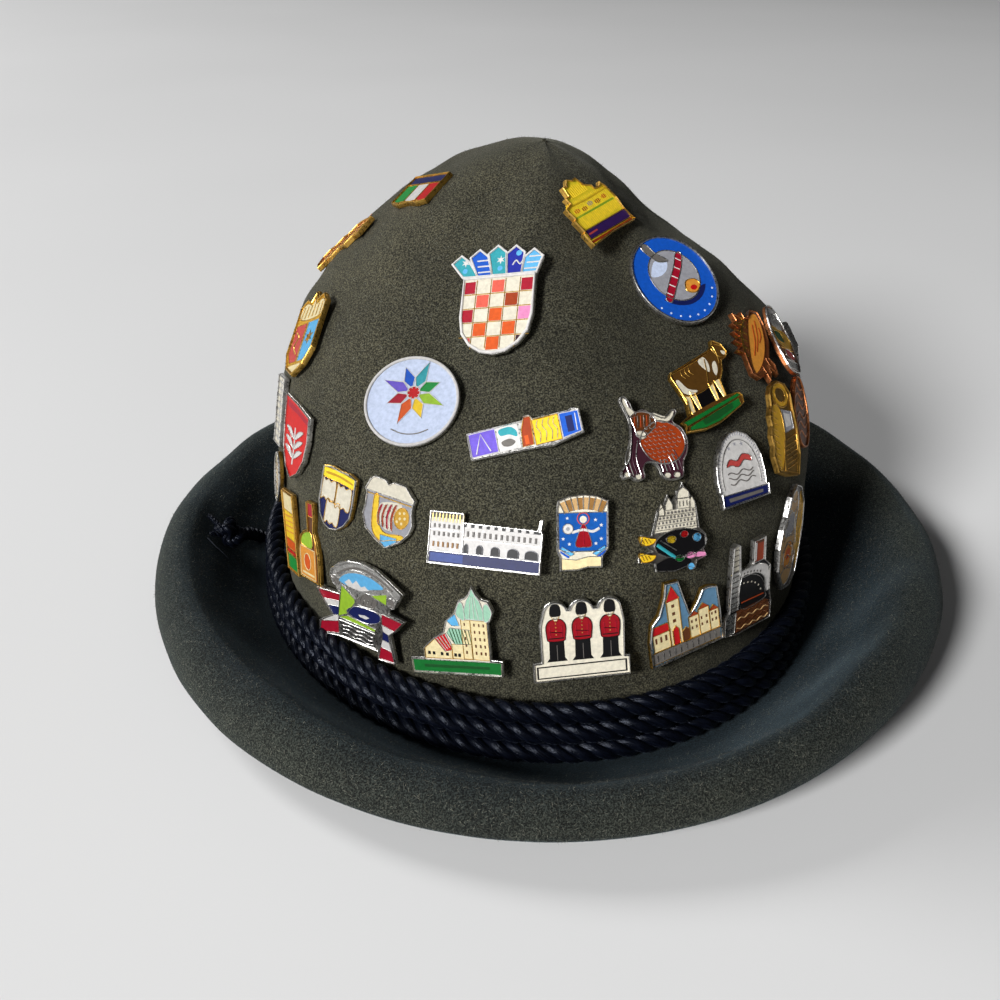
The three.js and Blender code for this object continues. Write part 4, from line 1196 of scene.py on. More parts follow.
@art("silver")
def boat_shield(p):
    p.plate([(-8.8, 5), (-7.6, 8.4), (-6.4, 9.3), (-2.6, 9.2), (-1.3, 8.2), (0, 9.1), (4, 9.2), (6, 7.6),
             (8, 6), (7.8, 4.6), (8, 2), (9, -0.6), (8.4, -3.4), (6, -6.6), (2, -9.3), (-2, -7.8),
             (-5.8, -5.6), (-7.8, -2), (-7.6, 1), (-8, 4.4)], 0.4, "grey")
    p.cell("ivory", [(-8.4, 5.2), (-7.3, 8.1), (-6.2, 8.9), (-2.7, 8.8), (-1.3, 7.8), (0, 8.7),
                     (3.9, 8.8), (5.8, 7.2), (7.6, 5.8), (7.4, 4.9), (-8, 4.9)], 0.25)
    p.cell("yellow", blob((-5.2, 4), (-3.8, 4.1), (-2.8, -0.6), (-1.4, -3.8), (1.2, -5.2), (6, -4.4),
                          (6.6, -5.4), (3, -6.6), (-0.4, -7.6), (-3.4, -5.6), (-4.6, -1.6)), 0.3, "gilt")
    p.cell("ivory", blob((-3.2, 1.6), (-1.6, 3), (3.4, 4), (4.2, 2.4), (2.4, -1.2), (2, -4.2), (-1, -3.6),
                         (-2.8, -1)))
    for k in range(4):
        x, high, low = -2.6 + 1.5 * k, 1.9 + 0.3 * k, -3.4 - 0.15 * k
        stripe = blob((x, high), (x + 0.8, high + 0.3), (x + 0.3, -0.6), (x + 1.1, low),
                      (x + 0.3, low + 0.2), (x - 0.5, -0.4), steps=3)
        p.cell("rust" if k % 2 else "crimson", stripe, 0.2)
    p.cell("gold", oval_at(4.9, 0.2, 2.3, 2.9), 0.25, "gilt")
    p.dots("cream", [(4, 1.4), (5.4, 1.8), (5.9, 0.4), (4.4, 0), (5.2, -1.2), (3.7, -1)], 0.42, 8)
    p.cell("sky", [(-0.6, -6), (4.8, -5.6), (5, -6.6), (1.9, -8.9), (0, -8)], 0.25)
    p.line([(-7.4, 4.2), (7.2, 4.2)], 0.35, "gilt")


@art("silver")
def lake_badge(p):
    banner = [(-11.6, 7), (-10.8, 9.6), (-7.6, 12.2), (-3, 14.2), (2, 14.9), (8, 14.2), (13, 12),
              (17.9, 9.6), (16.4, 7.4), (14.6, 4.4), (12.4, 4.8)]
    outline = [*banner, (12, 2), (18, 1.2), (14.6, -2.8), (11.9, -5.2), (13.7, -13.6), (6.6, -14.4),
               (6.6, -11.8), (-9.4, -12.2), (-18.6, -14.1), (-17.9, -9.4), (-12, -6), (-17.9, 1.5),
               (-8, 2.4), (-9.4, 5)]
    p.plate(outline, 0.4, "silver")
    bands = ("crimson", "white", "navy", "white", "crimson")
    left = [((-17.2, 1), (-8, 1.8)), ((-15.4, -1.5), (-8.4, -0.4)), ((-13.6, -3.2), (-8.8, -2.3)),
            ((-11.4, -5.8), (-9.2, -5.2)), ((-17.2, -9.6), (-9.4, -7.2)), ((-18.1, -13.4), (-9.6, -11.3))]
    right = [((9.2, 1), (17.3, 0.6)), ((9, -2.4), (13.8, -2.9)), ((9.2, -4.4), (11.4, -5)),
             ((8.8, -7.2), (11.6, -7.4)), ((8, -9.8), (12.4, -10)), ((7, -13.8), (13.2, -13.2))]
    for edges in (left, right):
        for name, (a, b), (c, d) in zip(bands, edges, edges[1:]):
            p.cell(name, [a, b, d, c], 0.22)
    p.cell("silver", blob((-10.9, 6.9), (-9.4, 9.8), (-4, 12.8), (2, 14), (9, 13), (14, 10.6), (17, 9),
                          (15.8, 7.4), (11, 9.9), (6, 11.5), (0, 11.8), (-5, 10.2), (-8.8, 7.2)), 0.35)
    p.line(curve((-8.4, 8.4), (-3.4, 11.4), (2, 12.8), (8.4, 12), (14.2, 9.7)), 0.8, "stone")
    p.cell("stone", oval_at(-9.3, 6.2, 1.6), 0.35)
    p.cell("stone", oval_at(13.4, 5.6, 1.5), 0.35)
    p.cell("sky", blob((-7.6, 6.4), (-4.6, 9.4), (1, 11), (6.6, 10.8), (10.4, 9.2), (6, 7.6), (2.6, 6.6),
                       (-1.6, 5.8)))
    p.cell("white", [(-5.6, 6.6), (-3.4, 8.3), (-2, 7.2), (-0.4, 8.7), (1.4, 7.1), (3, 7.9), (4.6, 6.8),
                     (1, 5.6), (-4, 5.6)])
    p.cell("lime", [(4.6, 5.4), (11.9, 8), (11.4, 4.4), (8.4, 5)], 0.25)
    p.cell("lime", [(-6.8, 5.4), (-1, 2), (-5.2, -3.4), (-9.2, -5.4)], 0.3)
    p.cell("stone", blob((-1.6, 1.6), (1, 4.2), (4, 5.8), (7.6, 4.6), (6.4, 2), (2.4, 1)), 0.3)
    p.hatch(4, (0.4, 2), (1.4, 4.4), (1.5, 0))
    p.cell("navy", blob((-5.4, -2.6), (-1.6, 0), (4, 0.8), (8.4, 0.4), (8, -2), (3.4, -4), (-2, -4)), 0.35)
    p.cell("white", [(-0.6, -2.2), (2.2, -1.6), (4.2, -1.9), (2.6, -2.9), (0, -2.9)])
    p.cell("lime", [(-9, -5.6), (-5, -4), (6.4, -4.8), (6, -5.8)], 0.25)
    p.cell("silver", [(-8.8, -6.6), (6, -6.4), (6, -11.2), (-8.6, -11.8)], 0.35)
    p.waves(3, -7.6, 5, top=-7.7, gap=1.4, height=0.25, rate=1.1, shift=1, width=0.4, names=["silver"],
            points=20)


@art("silver")
def chateau(p):
    p.plate([(-15.7, -7.3), (15.7, -7.3), (15.7, 3.6), (15.2, 4.4), (15.5, 7.4), (14.7, 7.2), (14, 4.4),
             (-5.9, 4.6), (-6.2, 7), (-15.6, 7)], 0.3, "white")
    p.cell("navy", box(-15.3, -6.9, 15.3, -3.8), 0.3)
    p.cell("denim", box(-14.9, -6.5, -5.6, -4.2))
    p.cell("black", box(-5.8, 3.3, 15.1, 4.3))
    p.cell("black", box(-15.3, 5.2, -6.2, 6.8))
    for k in range(10):
        x = -15.1 + 0.95 * k
        p.cell("cream", [(x, 4.2), (x + 0.6, 4.2), (x + 0.55, 6.2), (x + 0.3, 6.9), (x + 0.05, 6.2)])
        p.line([(x + 0.35, 4.8), (x + 0.35, 6.2)], 0.22, "gilt")
    for k in range(9):
        x = -4.6 + 2.15 * k
        p.cell("white", gable(x, 0.6, 3.2, 4, 4.7))
    for x in np.arange(-14.4, -6.4, 1.35):
        p.cell("stone", box(x, 0.4, x + 0.5, 1.5))
        p.cell("stone", box(x, 2.6, x + 0.5, 3.6))
        p.cell("bronze", box(x, -2.6, x + 0.5, -1.2))
    for x in np.arange(-5, 15, 1.55):
        p.cell("stone", box(x, 0.9, x + 0.55, 2.3))
    p.line([(-15.2, 2.1), (-6, 2.1)], 0.25)
    p.line([(-5.8, 0.2), (15.2, 0.2)], 0.25)
    p.line([(-6, -3.6), (-6, 4.6)], 0.35)
    for x, half in ((-5, 0.55), (-1.2, 0.85), (3.1, 1.15), (8, 1.5), (13, 1.75)):
        arch = [(x - half, -3.5), (x + half, -3.5), *oval_at(x, -2.2, half, 1.1, 9, 0, 180)]
        p.cell("black", arch, 0.2, "grey")
    p.line([(14.7, 4), (14.7, 7)])


@art("silver")
def crowned_shield(p):
    p.plate([(-6.8, 5.8), (-6.4, 8.6), (-3.4, 9.8), (0.4, 10.2), (4, 9.7), (6.9, 8.3), (6.9, 5.6),
             (6.8, -4.2), (5.2, -6.2), (5, -9.2), (1, -9.2), (-1.6, -9.9), (-6.2, -9.9), (-6.2, -6.4),
             (-7, -4.4)], 0.35, "ivory")
    inner, outer, ribs = 11.6, 15.6, 9

    def rib(k, reach, y):
        """A point of the fan of ribs that stands on the shield."""
        a = math.radians(115 - 6.25 * k)
        return (0.3 + reach * math.cos(a), y + reach * math.sin(a))

    for k in range(ribs):
        if k < ribs - 1:
            panel = [rib(k, inner, -5.4), rib(k + 1, inner, -5.4), rib(k + 1, outer - 0.6, -5.6),
                     rib(k, outer - 0.6, -5.6)]
            p.cell("bronze" if k % 2 else "tan", panel)
        p.line([rib(k, inner, -5.4), rib(k, outer, -5.6)], 0.35)
    p.cell("cobalt", [(-6.3, 5.4), (6.4, 5.4), (6.3, -3.8), (4.2, -4.8), (-4.4, -4.8), (-6.4, -4)], 0.4)
    for x, y in ((-4, 4), (-5.2, -1.4), (-3.6, -2.8), (3.4, 3.4), (4.9, 2), (4.8, -1.6), (3.4, -2.8)):
        p.cell("white", star(x, y, 0.55))
    p.cell("white", oval_at(-3.9, 1.2, 1.35), 0.3)
    p.cell("grey", oval_at(-3.9, 1.2, 0.55, sides=12))
    p.line(curve((-2.9, 0.2), (0, 0.9), (2.6, 0.4), (4.4, 1.2)), 0.8, "white")
    p.line(oval_at(0.2, 3.8, 1.55, sides=18), 0.35, "rose", True)
    p.cell("ivory", oval_at(0.2, 3.6, 0.95, sides=14))
    p.cell("guard", blob((0.2, 2.6), (1.2, 0.8), (2.3, -3.2), (0.2, -3.7), (-2, -3.2), (-0.8, 0.8),
                         steps=4), 0.3)
    p.line([(0.2, 2.2), (0.2, -3.2)], 0.22, "crimson")
    for side in (-1, 1):
        p.cell("sky", [(side * 6, -4.2), (side * 3.4, -5.9), (side * 2.4, -5.4), (side * 5.6, -3.4)], 0.25)
        p.cell("blue", [(side * 6.1, -5), (side * 4, -6.5), (side * 3.6, -6.1), (side * 6, -4.5)])
    p.cell("cream", [(-5.8, -6.6), (-2, -7), (1.4, -6.2), (4.6, -6.3), (4.6, -8.8), (1, -8.8),
                     (-1.6, -9.5), (-5.8, -9.5)], 0.3)


@art("silver")
def domed_church(p):
    outline = [(4.4, 12.3), (5, 10.8), (6.4, 9.6), (6.2, 8), (7.2, 8.4), (8.2, 6.4), (8.8, -0.4),
               (10.6, -2.4), (10.4, -5.4), (9.6, -6.4), (10.6, -8.4), (7.4, -9.4), (6.4, -11.6),
               (4.2, -10.6), (0, -11.4), (-5.4, -10.8), (-5.6, -8.6), (-10.4, -7.8), (-10.2, -5.6),
               (-6, -5.2), (-9.6, -2.6), (-9, -0.4), (-6, -1), (-5, 1.4), (-3.6, 5.6), (-1.6, 6.6),
               (-0.2, 9.4), (1, 7.2), (2.2, 8.4), (2.6, 10), (3.9, 10.8)]
    p.plate(outline, 0.35, "pewter")
    p.cell("ivory", [(-5.2, -0.6), (8.1, -0.6), (8, 5.2), (-2.8, 5.2), (-4, 2.6)], 0.3)
    for row in range(4):
        y = 0.4 + 1.25 * row
        for x in np.arange(-3.6 + 0.3 * row, 7.6, 1.1):
            p.cell("stone", gable(x, 0.27, y, y + 0.45, y + 0.7))
        p.line([(-4.6 + 0.5 * row, y - 0.35), (8, y - 0.35)], 0.22)
    p.cell("ivory", [(2.4, 5.2), (6.4, 5.2), (6.3, 8), (2.5, 8)], 0.25)
    p.cell("ivory", blob((2.5, 8), (2.8, 9.6), (4.4, 10.9), (6, 9.6), (6.3, 8), steps=4), 0.3)
    p.line([(4.4, 10.6), (4.4, 12.1)], 0.5)
    for x, y, r in ((-0.2, 6.6, 1.1), (6.9, 6.4, 0.9), (-2.6, 5.4, 0.8)):
        p.cell("ivory", gable(x, r, y - 1.4, y, y + 2), 0.25)
    for x in (3, 4.1, 5.2):
        p.cell("stone", box(x, 5.7, x + 0.5, 7.3))
    p.cell("black", oval_at(2.7, -4, 8, 3.8, 36), 0.35)
    p.cell("black", blob((-5, -8.8), (-1, -7.6), (4, -8), (5.4, -9.6), (1, -10.9), (-4.8, -10.4)))
    for x, y, rx, ry, name in ((-0.2, -2.6, 1.5, 1.1, "yellow"), (3.9, -1.7, 1.2, 0.9, "red"),
                               (7.7, -3, 1.3, 1.2, "sky"), (2, -8, 1.4, 0.9, "green"),
                               (5.4, -7.6, 1.6, 0.9, "pink"), (5.2, -10.6, 1.1, 0.9, "sky")):
        p.cell(name, oval_at(x, y, rx, ry, 18), 0.2)
    p.cell("pink", blob((6.6, -7), (9.9, -7.4), (9.8, -8.3), (6.8, -8.2)))
    p.line([(-4.6, -3.6), (0.6, -7.6)], 1.1, "teal")
    p.line([(-3.4, -2.6), (1.2, -5.8)], 0.4)
    for x, y in ((-7.6, -2.2), (-8, -6.6)):
        p.cell("yellow", blob((x - 2, y + 1.4), (x + 1.2, y + 0.6), (x + 2.8, y + 0.2), (x + 1.6, y - 1),
                              (x - 1.4, y - 1)), 0.3, "gilt")
        p.hatch(3, (x - 1.5, y + 0.9), (x - 0.8, y - 0.6), (1, -0.2), 0.25, ["gilt"], (1, 0))


@art("silver")
def green_spire(p):
    p.plate([(-13.8, -8.2), (-9.6, -7.8), (-9.6, -4.6), (-6.2, -1.4), (-3.2, 0.6), (-2.2, 4), (0.5, 6.6),
             (2.2, 10.4), (4, 11.2), (5.4, 12.8), (6.4, 14.9), (7.4, 12.8), (8.6, 11.2), (10.8, 10.6),
             (12, 7.6), (10.9, 4.6), (10.2, 4.4), (10.2, -7), (13.4, -7.1), (13.2, -11.6),
             (-13.6, -12.9)], 0.3, "ivory")
    p.cell("spruce", [(-13.3, -8.6), (12.9, -7.4), (12.8, -11.2), (-13.2, -12.3)], 0.35)
    p.cell("forest", [(-10, -9.8), (9.6, -8.9), (9.6, -9.9), (-10, -10.9)])
    p.cell("cream", [(-9.2, -7.8), (-1.2, -7.5), (-1.2, -3.4), (-6, -1.8), (-9.2, -4.8)], 0.25, "gilt")
    p.cell("red", [(-6, -1.6), (-2.6, 0.2), (-1, -3.2), (-1.2, -4.8), (-3.2, -5.4)], 0.25)
    p.hatch(4, (-5.4, -1.4), (-2.9, -5.1), (0.9, 0.4), 0.25, ["white"], (0.6, 0.5))
    p.cell("cream", [(-1, -7.4), (4.8, -7.2), (4.8, -2.6), (-1, -3)], 0.25, "gilt")
    p.cell("mint", [(-2.2, 0.4), (-1.2, 1.9), (4.8, 1.7), (5, -2.6), (0, -2.9)], 0.25)
    p.hatch(7, (-1.4, 1.7), (-0.2, -2.6), (0.95, 0), 0.26, ["forest"], (0.85, 0))
    p.cell("sky", [(-1.8, 4), (0.8, 6.2), (1.8, 2.8), (-0.4, 2.6)], 0.25)
    p.cell("cream", box(2.3, -7.1, 9.8, 4.7), 0.3, "gilt")
    p.line([(5, -7), (5, 4.5)], 0.28, "gilt")
    p.windows("brown", (3.3, 6.1, 7.5, 8.8), [3.4 - 2.1 * row for row in range(5)], 0.22, 0.5, 0.4)
    p.windows("black", (-8, -6.6, -4.2, -2.6, -0.2, 1), [-6.6], 0.35, 0, 0.9)
    p.cell("mint", blob((2.4, 5), (1.2, 6.6), (2.4, 9.8), (3.4, 9.2), (3.6, 5), steps=4), 0.25, "white")
    p.cell("mint", blob((9.2, 5), (9.4, 9.2), (10.6, 9.8), (11.5, 7.4), (10.5, 5), steps=4), 0.25, "white")
    p.cell("mint", [(3.8, 5), (3.6, 7.6), (4.6, 10.6), (5.6, 12.2), (6.4, 14.2), (7.2, 12.2), (8.3, 10.6),
                    (9.2, 7.6), (9, 5)], 0.3, "white")
    for x in (5, 6.4, 7.7):
        p.line([(x, 5.3), (6.4 + (x - 6.4) * 0.35, 11.8)], 0.25, "white")


@art("silver")
def three_guards(p):
    centres = (-6.6, 0.4, 7.9)
    top = []
    for x in reversed(centres):
        top += oval_at(x, 8.2, 3.3, 3.3, 9, 12, 168)
    p.plate([(-13.3, -12.3), (13.2, -12.1), (13.1, -6.4), (11.8, -6.2), (11.9, 4.4), *top, (-11, 4.6),
             (-11, -6.3), (-13.3, -6.5)], 0.5, "ivory")
    p.cell("black", [(-12.4, -11.5), (12.4, -11.3), (12.3, -7.3), (-12.4, -7.5)])
    p.cell("ivory", [(-11.9, -11.1), (11.9, -10.9), (11.8, -7.7), (-11.9, -7.9)])
    for x in centres:
        p.cell("black", [(x - 2.9, -6.4), (x + 2.9, -6.4), (x + 2.2, -5.2), (x + 2.1, 0), (x - 2, 0),
                         (x - 2.1, -5.2)])
        p.line([(x + 0.1, -6), (x + 0.1, -1.4)], 0.2, "stone")
        p.cell("guard", blob((x - 1.3, 6.2), (x + 1.4, 6.2), (x + 2.7, 4.4), (x + 2.5, 1.2),
                             (x + 2, -0.2), (x - 1.9, -0.2), (x - 2.5, 1.2), (x - 2.6, 4.4), steps=3),
               0.25, "black")
        p.line([(x - 1.6, 4.2), (x - 1.5, 1)], 0.25, "crimson")
        p.line([(x + 1.7, 4.2), (x + 1.6, 1)], 0.25, "crimson")
        p.cell("black", box(x - 2.1, 0.4, x + 2.2, 0.85))
        p.line([(x - 1.7, 2.6), (x + 1.8, 2.2)], 0.22, "black")
        p.dots("gilt", [(x + 0.05, y) for y in (1.7, 2.8, 3.9, 5)], 0.2, 8)
        p.cell("ivory", oval_at(x + 0.05, 6.9, 0.95, 1.1, 14))
        p.cell("black", blob((x - 1.2, 7.2), (x - 1.4, 9.2), (x - 0.8, 10.6), (x + 0.9, 10.6),
                             (x + 1.5, 9.2), (x + 1.3, 7.2), steps=4))
        p.line(curve((x - 1, 7.1), (x + 0.05, 5.6), (x + 1.1, 7.1)), 0.16, "gilt")
        p.line([(x - 0.5, 6.75), (x - 0.2, 6.75)], 0.12, "brown")
        p.line([(x + 0.3, 6.75), (x + 0.6, 6.75)], 0.12, "brown")


@art("gilt")
def old_town(p):
    p.plate([(-11.8, -12.3), (11.8, -11.9), (11.9, -2), (11.6, 5.2), (8.6, 6.2), (6.6, 6), (4.4, 2.6),
             (2, 0.2), (0.8, 5.4), (-0.4, 11.4), (-4.8, 12), (-5.6, 8), (-7.8, 3.2), (-10.4, 1),
             (-11.6, -4)], 0.6, "slate", "silver")
    p.cell("stone", [(-11, -11.4), (11, -11.1), (11, -7.6), (-11, -7.8)], 0.3)
    p.hatch(11, (-9.6, -10.6), (-9.6, -8.6), (1.9, 0), 0.3, ["silver"])
    p.cell("cream", box(-10.4, -7.6, -4.8, -2.4), 0.25)
    p.cell("red", [(-10.8, -2.4), (-4.6, -2.4), (-5.4, 0.2), (-9.8, 0.2)], 0.25)
    p.windows("brown", (-9.4, -7.8, -6.2), [-5.2], 0.35, 0, 1.8)
    p.cell("cream", box(-5, -7.8, -1, 6.2), 0.3)
    p.cell("red", [(-5.2, 6.2), (-0.8, 6.2), (-2.9, 10.6)], 0.3)
    p.windows("brown", [-3], (4.4, 2, -0.2), 0.5, 0.5, 0.5)
    p.cell("red", [(-4, -7.6), (-2, -7.6), (-2, -3), (-2.9, -1.8), (-4, -3)], 0.25)
    p.cell("brown", gable(0.2, 1.2, -7.6, -4.4, -3.4), 0.25)
    for x0, x1, y in ((1.4, 4.6, -1), (4.6, 8, 0.2), (8, 11, -1.6)):
        p.cell("cream", box(x0, -7.6, x1, y), 0.25)
        p.cell("rust", [(x0 - 0.1, y), (x1 + 0.1, y), ((x0 + x1) / 2, y + 1.6)], 0.2)
        for x in (x0 + 0.9, x1 - 0.9):
            p.windows("brown", [x], (-2.6, -4.6), 0.28, 0.5, 0.4)
    p.line([(-1, -7.8), (11, -7.7)])


@art("silver")
def ship(p):
    p.plate([(-10.8, -13.6), (-10.8, -8), (-9, -6.8), (-8.6, 4.8), (-8, 12.8), (-6.6, 13.6), (-5, 12.8),
             (-4.4, 5), (-1.4, 4.9), (1.2, 5.4), (1.4, 12.2), (6.7, 12.6), (6.9, 5.2), (9.4, 3),
             (9.6, -5), (10.6, -9), (10.4, -14.2), (-5.6, -14.6)], 0.35, "black")
    p.cell("silver", [(-8.3, -6.9), (-4.8, -6.9), (-4.6, 4.8), (-8.2, 4.8)], 0.3)
    p.cell("ivory", [(-7.6, 5), (-5, 5), (-5.4, 12.4), (-6.6, 13.2), (-7.6, 12.4)], 0.3)
    for y in np.arange(-6, 12, 1.6):
        p.line([(-8.1, y), (-4.9, y)], 0.3, "pewter")
    p.cell("silver", [(-10.4, -13.2), (-6, -13.8), (-5.6, -7.6), (-10.3, -7.6)], 0.3)
    for y in (-12, -10.4, -8.9):
        p.line([(-10.2, y), (-5.9, y)], 0.3, "pewter")
    p.cell("rust", box(1.9, 5.4, 6.3, 11.9), 0.6)
    p.line([(2.6, 6), (2.6, 11.4)], 0.7)
    p.cell("brown", box(3.2, 10.8, 6.2, 11.8))
    p.cell("white", blob((-4, 4.5), (0, 4.7), (5, 4.4), (8.8, 2), (9.2, -4.6), (7.6, -4.4), (6.8, -0.4),
                         (3, 2.2), (-3.8, 2.6), steps=4), 0.25)
    for k in range(6):
        x, y = -2.8 + 1.5 * k, 3.2 - 0.06 * k * k
        p.cell("stone", box(x, y, x + 0.7, y + 0.6))
    p.cell("black", blob((-3.8, 2.4), (2.4, 1.8), (6.2, -1), (7.4, -4.8), (7.2, -7), (-3.6, -7), steps=4),
           0.25)
    p.dots("ivory", [(-2.6, 0.6), (-0.8, 0.4), (1, 0), (2.7, -0.8), (4.3, -2), (5.4, -3.6)], 0.3, 8)
    p.line([(-3.4, -5.2), (6.8, -5.4)], 0.35, "rust")
    p.cell("brown", [(-5.4, -13.9), (10, -13.6), (10, -9.4), (7.6, -7.3), (-5.4, -7.3)])
    p.waves(4, -5, 9.4, top=-8.4, gap=1.5, height=0.35, rate=1.7, shift=1.3, width=0.35,
            names=["copper", "tan"], points=30)


@art("silver")
def rough_map(p):
    p.plate([(-4.6, -15.6), (-8.8, -9), (-9.2, -2), (-7.6, 3.4), (-5.2, 7), (-3, 12.4), (1.2, 15.6),
             (5.2, 14.4), (8.8, 9), (9.4, 2), (8.2, -6), (6.4, -12.6), (1.6, -15.8)], 0.5, "stone")
    p.cell("tan", blob((-3.6, -13.8), (-7.4, -8), (-7.6, -2), (-5.6, 3.6), (-3, 7.6), (-0.6, 12.6),
                       (2.2, 13.6), (4.6, 9), (3.4, 2), (5, -5), (2.6, -12), (-0.4, -14.4)), 0.5)
    p.cell("amber", blob((-4.4, -4), (-2, -1.4), (1.4, -2), (2.4, -6), (-0.6, -9.6), (-4, -8.4)), 0.3)
    p.cell("orange", blob((-2.6, -4), (0.4, -3.6), (0.6, -6.2), (-2, -7)))
    p.cell("grey", blob((-5.4, 1.6), (-1, 0.4), (2.2, 2.4), (1.6, 6.6), (-2, 7)), 0.3)
    for k in range(7):
        y = 11 - 3.4 * k
        p.line(curve((-4.4 - 0.3 * k, y - 1.4), (-1.6, y + 0.6), (1.2, y - 0.8), (3.6, y + 0.7)), 0.35)
    p.cell("gold", [(5.4, 12.6), (8, 8.6), (8.7, 1.8), (7.4, -6), (5.8, -11.4), (4.8, -5), (4.6, 3)], 0.3,
           "gilt")
    p.hatch(8, (5, 9), (8, 8.4), (0, -2.4), 0.3, ["gilt"])


@art("dull_gilt")
def gold_figure(p):
    p.plate([(-5.6, -13.6), (-7.2, -9), (-6.6, -6), (-7.4, -3), (-6.6, 0), (-7.2, 3), (-6, 6),
             (-6.2, 9.4), (-5, 12.2), (-1.6, 14.2), (2.4, 13.8), (5.2, 11.2), (5.8, 7), (7, 1), (7.2, -7),
             (5.4, -13.4), (0, -14.2)], 0.5)
    p.cell("gold", oval_at(-0.2, 10, 4.2, 3.6), 0.45, "gilt")
    p.cell("dull_gilt", oval_at(-0.2, 10, 2.6, 2.1), 0.3, "gilt")
    p.cell("grey", [(-0.4, 5.6), (4.6, 5.6), (5.4, 0.6), (0.6, -1.2)], 0.4, "silver")
    p.cell("white", [(0.4, 4.8), (3.8, 4.8), (4.4, 1.4), (1.2, 0.4)])
    p.cell("gold", blob((-5, 6), (-1.2, 5.6), (0.2, -1), (-1, -8), (-3, -12.6), (-5.2, -11), (-5.8, -4)),
           0.4, "gilt")
    p.hatch(10, (-6.6, 5), (-3.4, 4.2), (0, -1.8), 0.4, ["gilt"])
    p.cell("dull_gilt", [(-0.6, -4), (6.2, -0.8), (6.4, -6), (4.6, -12.8), (-1.4, -12.6)], 0.4, "gilt")
    p.hatch(6, (0, -5.4), (5.8, -2.8), (0, -1.3), 0.4, ["gilt"])


@art("copper")
def stag(p):
    antler = [(-1.6, 9), (-3.2, 8.2), (-4.6, 9.8), (-5.4, 7.6), (-8.4, 7.4), (-6.8, 5.2), (-8.8, 3.2),
              (-6.2, 2.4), (-8.6, 0.2), (-6.2, -0.6), (-8.4, -3), (-5.6, -3.4), (-7.6, -6.4),
              (-4.6, -6.2), (-3.6, -9.4)]
    back = [(-2.4, -12.6), (0.6, -13.2), (3.4, -10.4), (5, -12.4), (5.8, -9), (4.8, -7), (8.4, -8.6),
            (7.6, -5), (5.4, -3.6), (6.2, 3), (5, 9), (2.6, 13.2), (-0.6, 12.4)]
    p.plate([*antler, *back], 0.5, "brown")
    p.cell("amber", blob((-1, 9.6), (1.8, 12), (4, 8), (4.6, 2), (3.6, -4), (1.6, -9), (-0.6, -11.6),
                         (-2, -8), (-2.2, -1), (-2, 5), steps=4), 0.5)
    for x, top, low in ((0, 7, -5), (1.2, 9, -3), (2.6, 7, 1)):
        p.line(curve((x, top), (x + 0.5, (top + low) / 2), (x - 0.3, low)), 0.3, "rust")
    p.line(curve((-1.4, 10), (-0.2, 12.2), (2.2, 12.4), (4.2, 9)), 0.8, "silver")
    for k in range(6):
        y = 7.4 - 2.7 * k
        p.line(curve((-2.6, y), (-4.8, y + 0.3), (-7.4, y - 0.4)), 0.7, "gilt")
    p.line(curve((-3.4, -9), (-4.2, -4), (-4.6, 2), (-3.2, 8)), 0.8, "gilt")
    for x, y in ((4.2, -3.6), (2.8, -7.6)):
        p.line([(x, y), (x + 2.6, y - 4)], 0.7)


@art("copper")
def silver_leaf(p):
    p.plate(blob((-3.4, -12.6), (-6.2, -5), (-5.6, 4), (-2, 11.4), (1.6, 13.2), (4.6, 10), (6.2, 2),
                 (5.4, -6), (2.4, -12.4), steps=4), 0.5, "copper", "silver")
    p.cell("white", blob((-3.6, 5), (-1.2, 10.6), (1.6, 12), (3.8, 8.6), (3.4, 4.8), (0, 3.6), steps=4),
           0.35, "silver")
    p.hatch(4, (-2.6, 4.8), (-1, 10), (1.5, 0), 0.3, ["silver"], (1.1, 0))
    p.cell("gold", blob((-4.6, 3.2), (4.4, 3), (4.8, -2), (0, -3.6), (-4.8, -2), steps=4), 0.35, "gilt")
    p.cell("forest", blob((-3.6, 1.8), (0.6, 2.2), (0.8, -1.4), (-3.6, -1.6), steps=4), 0.25, "gilt")
    p.cell("rose", oval_at(1, -6, 2.7, 2), 0.3, "silver")
    p.line([(-3.6, -4.4), (4.2, -3.6)], 0.35, "gilt")
    p.cell("silver", [(-3.4, -8.8), (3.4, -8.4), (2, -11.8), (-2.8, -11.8)], 0.35, "silver")


@art("silver")
def dark_panel(p):
    p.plate([(-5.4, -7), (5.4, -7), (5.6, 6.4), (2, 7.2), (-5.4, 6.6)], 0.5)
    p.cell("ivory", box(-4.8, 0.4, 4.8, 6), 0.4)
    p.cell("brown", box(-4.8, -6.3, 4.8, 0), 0.4)
    p.hatch(5, (-4, 1), (-4, 5.4), (2, 0), 0.35)
    p.hatch(3, (-4, -1.4), (4, -1.4), (0, -1.8), 0.35, ["copper"])


@art("copper")
def brown_scroll(p):
    p.plate(blob((-3.6, -10.6), (-5.8, -3), (-4.8, 4), (-1, 10.6), (3.4, 9.4), (5.8, 2), (5, -5),
                 (1.6, -10.8), steps=4), 0.6, "brown")
    for k in range(6):
        y = 7.4 - 2.9 * k
        p.line(curve((-3.8, y - 1), (-1.4, y + 0.8), (1.4, y - 0.6), (3.8, y + 0.9)), 0.7)


@art("gilt")
def flag(p):
    p.plate([(-9, -6), (-5, -7.2), (0, -6.4), (5, -7.2), (9, -6.2), (9, 6.8), (-9, 6.8)], 0.5)
    p.cell("navy", box(-8.4, 2.8, 8.4, 6.2), 0.35)
    for x0, x1, name in ((-8.3, -3, "green"), (-2.8, 2.8, "white"), (3, 8.3, "red")):
        p.cell(name, [(x0, 2.3), (x1, 2.3), (x1, -5.4), ((x0 + x1) / 2, -6), (x0, -5.2)], 0.3)


